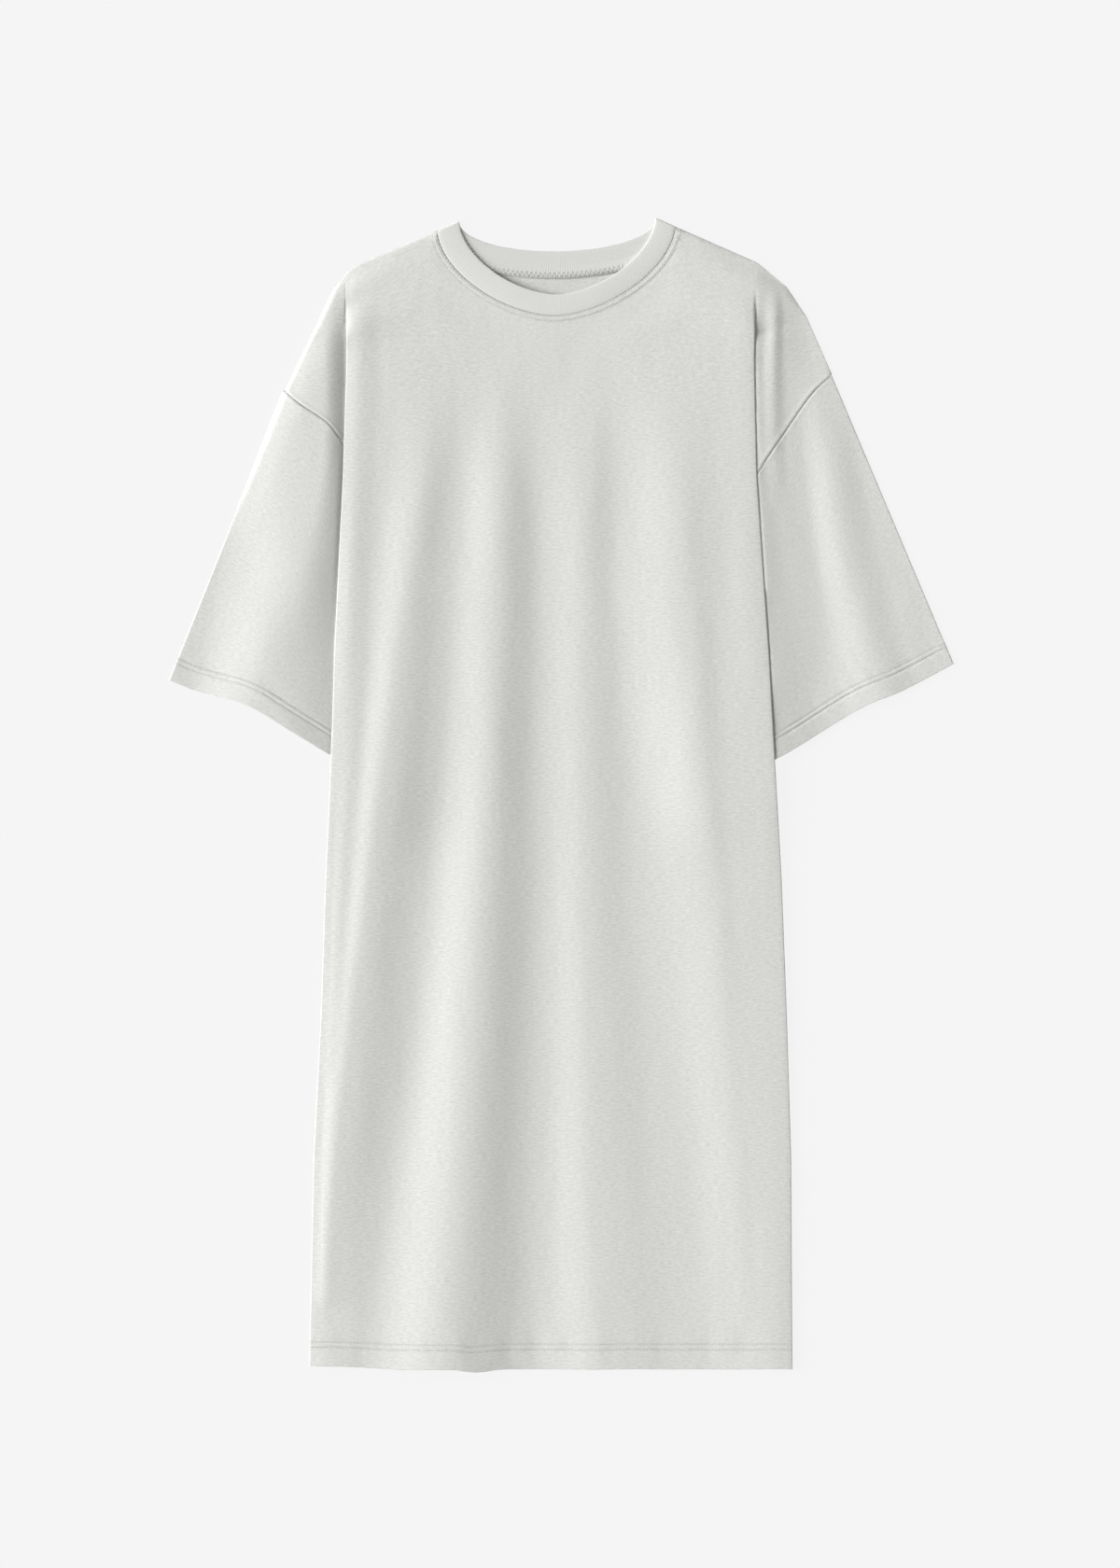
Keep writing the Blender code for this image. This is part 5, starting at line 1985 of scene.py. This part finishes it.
@dataclass
class Seams:
    """Where the sewing runs: hem, cuffs, neck and the inside of the back neck."""

    form: LaidForm
    thread: Material
    lift_above: float = 0.05
    lift_below: float = -0.27
    hem_inset: tuple[float, float] = (1.6, 4.0)
    step: float = 1.5
    neck_steps: int = 240
    neck_margin: float = 0.03
    # The cover stitch lies on the seam allowance, and only where that is low inside the neck.
    cover_away: float = 4.2
    cover_margin: float = 0.22
    cover_lift: float = 0.02
    cover_highest: float = 4.0

    def lift(self, top: bool) -> float:
        """How far off the cloth the thread's middle is. Below it is sunk, clear of the floor."""
        return self.lift_above if top else self.lift_below

    def hem_plan(self, panel: BodyPanel, up: float) -> list:
        """Places of a row of hem stitching.

        Args:
            panel: The body panel.
            up: Distance from the hem's edge.

        Returns:
            The places, left to right.
        """
        y = self.form.hem_y + up
        section = self.form.section_at(y)
        inset = self.hem_inset[panel.face is Face.BACK]
        places = np.arange(section.left + inset, section.right - inset, self.step)
        return [(x, y + panel.hem_dip(x, y)) for x in places]

    def cuff_plan(self, sleeve: Sleeve, up: float) -> list:
        """Places of a row of cuff stitching.

        Args:
            sleeve: The sleeve.
            up: Distance from the cuff's edge.

        Returns:
            The places, underarm to outer fold.
        """
        seam, cuff = sleeve.plan_lines()
        places = []
        for start, end in zip(seam, cuff):
            share = 1.0 - up / math.dist(start, end)
            places.append((mix(start[0], end[0], share), mix(start[1], end[1], share)))
        dense = []
        for a, b in zip(places[:-1], places[1:]):
            dense += [(mix(a[0], b[0], s), mix(a[1], b[1], s)) for s in (0.0, 0.25, 0.5, 0.75)]
        return dense

    def neck_plan(self, face: Face, away: float, margin: float) -> list:
        """Places of a row of stitching beside the neck seam.

        Args:
            face: Front or back.
            away: Distance from the seam.
            margin: Share of the seam left free at each end.

        Returns:
            The places, left to right.
        """
        line = self.form.neck[face][1].line(self.neck_steps)
        along = np.gradient(line, axis=0)
        along /= np.linalg.norm(along, axis=1)[:, None]
        outward = np.stack([along[:, 1], -along[:, 0]], axis=1)
        keep = int(self.neck_steps * margin)
        moved = line + outward * away
        return [tuple(point) for point in moved[keep:len(moved) - keep]]

    def build(self, front: tuple, back: tuple, sleeves: list, band: Object) -> list:
        """Sew every row.

        Args:
            front: The front panel and its cloth.
            back: The back panel and its cloth.
            sleeves: Each sleeve with its cloth.
            band: The neckband.

        Returns:
            The rows, each with the piece of cloth that it is sewn on.
        """
        made = []
        for panel, cloth in (front, back):
            top = panel.face is Face.FRONT
            surface = Surface(cloth, from_above=top)
            lift = self.lift(top)
            paths = [surface.lay(self.hem_plan(panel, up), lift) for up in panel.hem.stitch_rows]
            if top:
                paths += [surface.lay(self.neck_plan(panel.face, away, self.neck_margin), lift)
                          for away in NECK_ROWS]
            made.append((StitchRun(f"{panel.face.value}_stitching", paths, StitchKind.LOCK,
                                   self.thread).build(), cloth))
        for sleeve, cloth in sleeves:
            paths = []
            for top in (True, False):
                surface = Surface(cloth, from_above=top)
                paths += [surface.lay(self.cuff_plan(sleeve, up), self.lift(top))
                          for up in sleeve.hem.stitch_rows]
            name = f"{sleeve.hand.name.lower()}_cuff_stitching"
            made.append((StitchRun(name, paths, StitchKind.LOCK, self.thread).build(), cloth))
        # A real cover stitch has a pitch of 2.6 mm and a thinner thread. It is drawn coarser
        # here, so that its loops show.
        plan = self.neck_plan(Face.BACK, self.cover_away, self.cover_margin)
        inside = Surface(band).lay(plan, self.cover_lift, self.cover_highest)
        made.append((StitchRun("back_neck_cover_stitch", [inside], StitchKind.COVER, self.thread,
                               pitch=4.4, thread=0.6).build(), band))
        return made


@dataclass
class Studio:
    """Pale floor, soft light from the left, and a camera that looks straight down."""

    floor_hex: str = "#F5F5F5"
    floor_glow: float = 0.95
    floor_light: float = 0.93
    key_height: float = 30.0
    key_bearing: float = 172.0
    key_power: float = 4.18
    key_softness: float = 42.0
    fill_height: float = 5.0
    fill_bearing: float = -4.0
    fill_power: float = 0.6
    fill_softness: float = 20.0
    lamp_tint: tuple[float, float, float] = (1.0, 0.994, 1.0)
    ambient: float = 0.21
    ambient_tint: tuple[float, float, float, float] = (0.985, 1.0, 0.945, 1.0)
    floor_size: float = 12.0
    floor_z: float = -0.0004
    sensor: float = 36.0
    distance: float = 6.0
    frame_height: float = 1512.0
    centre: tuple[float, float] = (-1.35, 8.85)

    def build(self) -> None:
        """Set up the floor, the lights and the camera."""
        scene = bpy.context.scene
        scene.view_settings.view_transform = "Standard"
        bpy.ops.mesh.primitive_plane_add(size=self.floor_size, location=(0.0, 0.0, self.floor_z))
        floor = bpy.context.object
        floor.name = "studio_floor"
        floor.data.materials.append(self.floor_material())
        self.lamp("softbox_key", self.key_bearing, self.key_height, self.key_power,
                  self.key_softness)
        self.lamp("softbox_fill", self.fill_bearing, self.fill_height, self.fill_power,
                  self.fill_softness)
        world = bpy.data.worlds.new("studio_room")
        world.use_nodes = True
        room = world.node_tree.nodes["Background"]
        room.inputs["Color"].default_value = self.ambient_tint
        room.inputs["Strength"].default_value = self.ambient
        scene.world = world
        lens = bpy.data.cameras.new("camera")
        lens.sensor_width = self.sensor
        lens.lens = self.sensor * self.distance / (self.frame_height * MM)
        lens.clip_end = 50.0
        camera = bpy.data.objects.new("camera", lens)
        camera.location = (self.centre[0] * MM, self.centre[1] * MM, self.distance)
        scene.collection.objects.link(camera)
        scene.camera = camera

    def lamp(self, name: str, bearing: float, height: float, power: float, softness: float) -> None:
        """Add a soft light, with its angles in degrees.

        Args:
            name: Its name.
            bearing: Where it stands, counted from the right.
            height: How high it stands.
            power: Its strength.
            softness: How wide it is.
        """
        light = bpy.data.lights.new(name, "SUN")
        light.energy = power
        light.angle = math.radians(softness)
        light.color = self.lamp_tint
        lamp = bpy.data.objects.new(name, light)
        bearing, height = math.radians(bearing), math.radians(height)
        toward = Vector((math.cos(bearing) * math.cos(height),
                         math.sin(bearing) * math.cos(height), math.sin(height)))
        lamp.rotation_euler = toward.to_track_quat("Z", "Y").to_euler()
        bpy.context.scene.collection.objects.link(lamp)

    def floor_material(self) -> Material:
        """Pale paper that glows a little, so that shadows on it stay faint.

        Returns:
            The paper.
        """
        paper = linear(self.floor_hex)
        dull = tuple(tone * (1 - self.floor_glow) / self.floor_light for tone in paper[:3])
        return new_material("studio_paper", Base_Color=(*dull, 1.0), Roughness=1.0,
                            Specular_IOR_Level=0.0, Emission_Color=paper,
                            Emission_Strength=self.floor_glow)[0]


def declare(piece: Object, node: str) -> None:
    """Tie a finished piece to the part.

    Args:
        piece: The piece.
        node: The solid that it stands for.
    """
    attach(piece, "root")
    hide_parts(node)


def main() -> None:
    """Build the dress and its studio, and report each piece."""
    logging.basicConfig(level=logging.INFO, format="%(name)s: %(message)s")
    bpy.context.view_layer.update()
    form = LaidForm()
    jersey = JerseyFinish().make()
    rib = RibFinish().make()
    thread = ThreadFinish().make()
    front_panel, back_panel = BodyPanel(form, Face.FRONT), BodyPanel(form, Face.BACK)
    front, back = front_panel.build(jersey), back_panel.build(jersey)
    sleeves = [(sleeve, sleeve.build(jersey)) for sleeve in
               (Sleeve(form, Hand.LEFT), Sleeve(form, Hand.RIGHT))]
    band = Neckband(form).build(rib)
    declare(front, "front_body")
    declare(back, "back_body")
    declare(sleeves[0][1], "sleeve_left")
    declare(sleeves[1][1], "sleeve_right")
    declare(band, "neckband")
    sewn = Seams(form, thread).build((front_panel, front), (back_panel, back), sleeves, band)
    for run, cloth in sewn:
        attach(run, "root")
    for piece in [front, back, sleeves[0][1], sleeves[1][1], band] + [run for run, _ in sewn]:
        log.info("%s: %d faces", piece.name, len(piece.data.polygons))
    Studio().build()


if __name__ == "__main__":
    main()
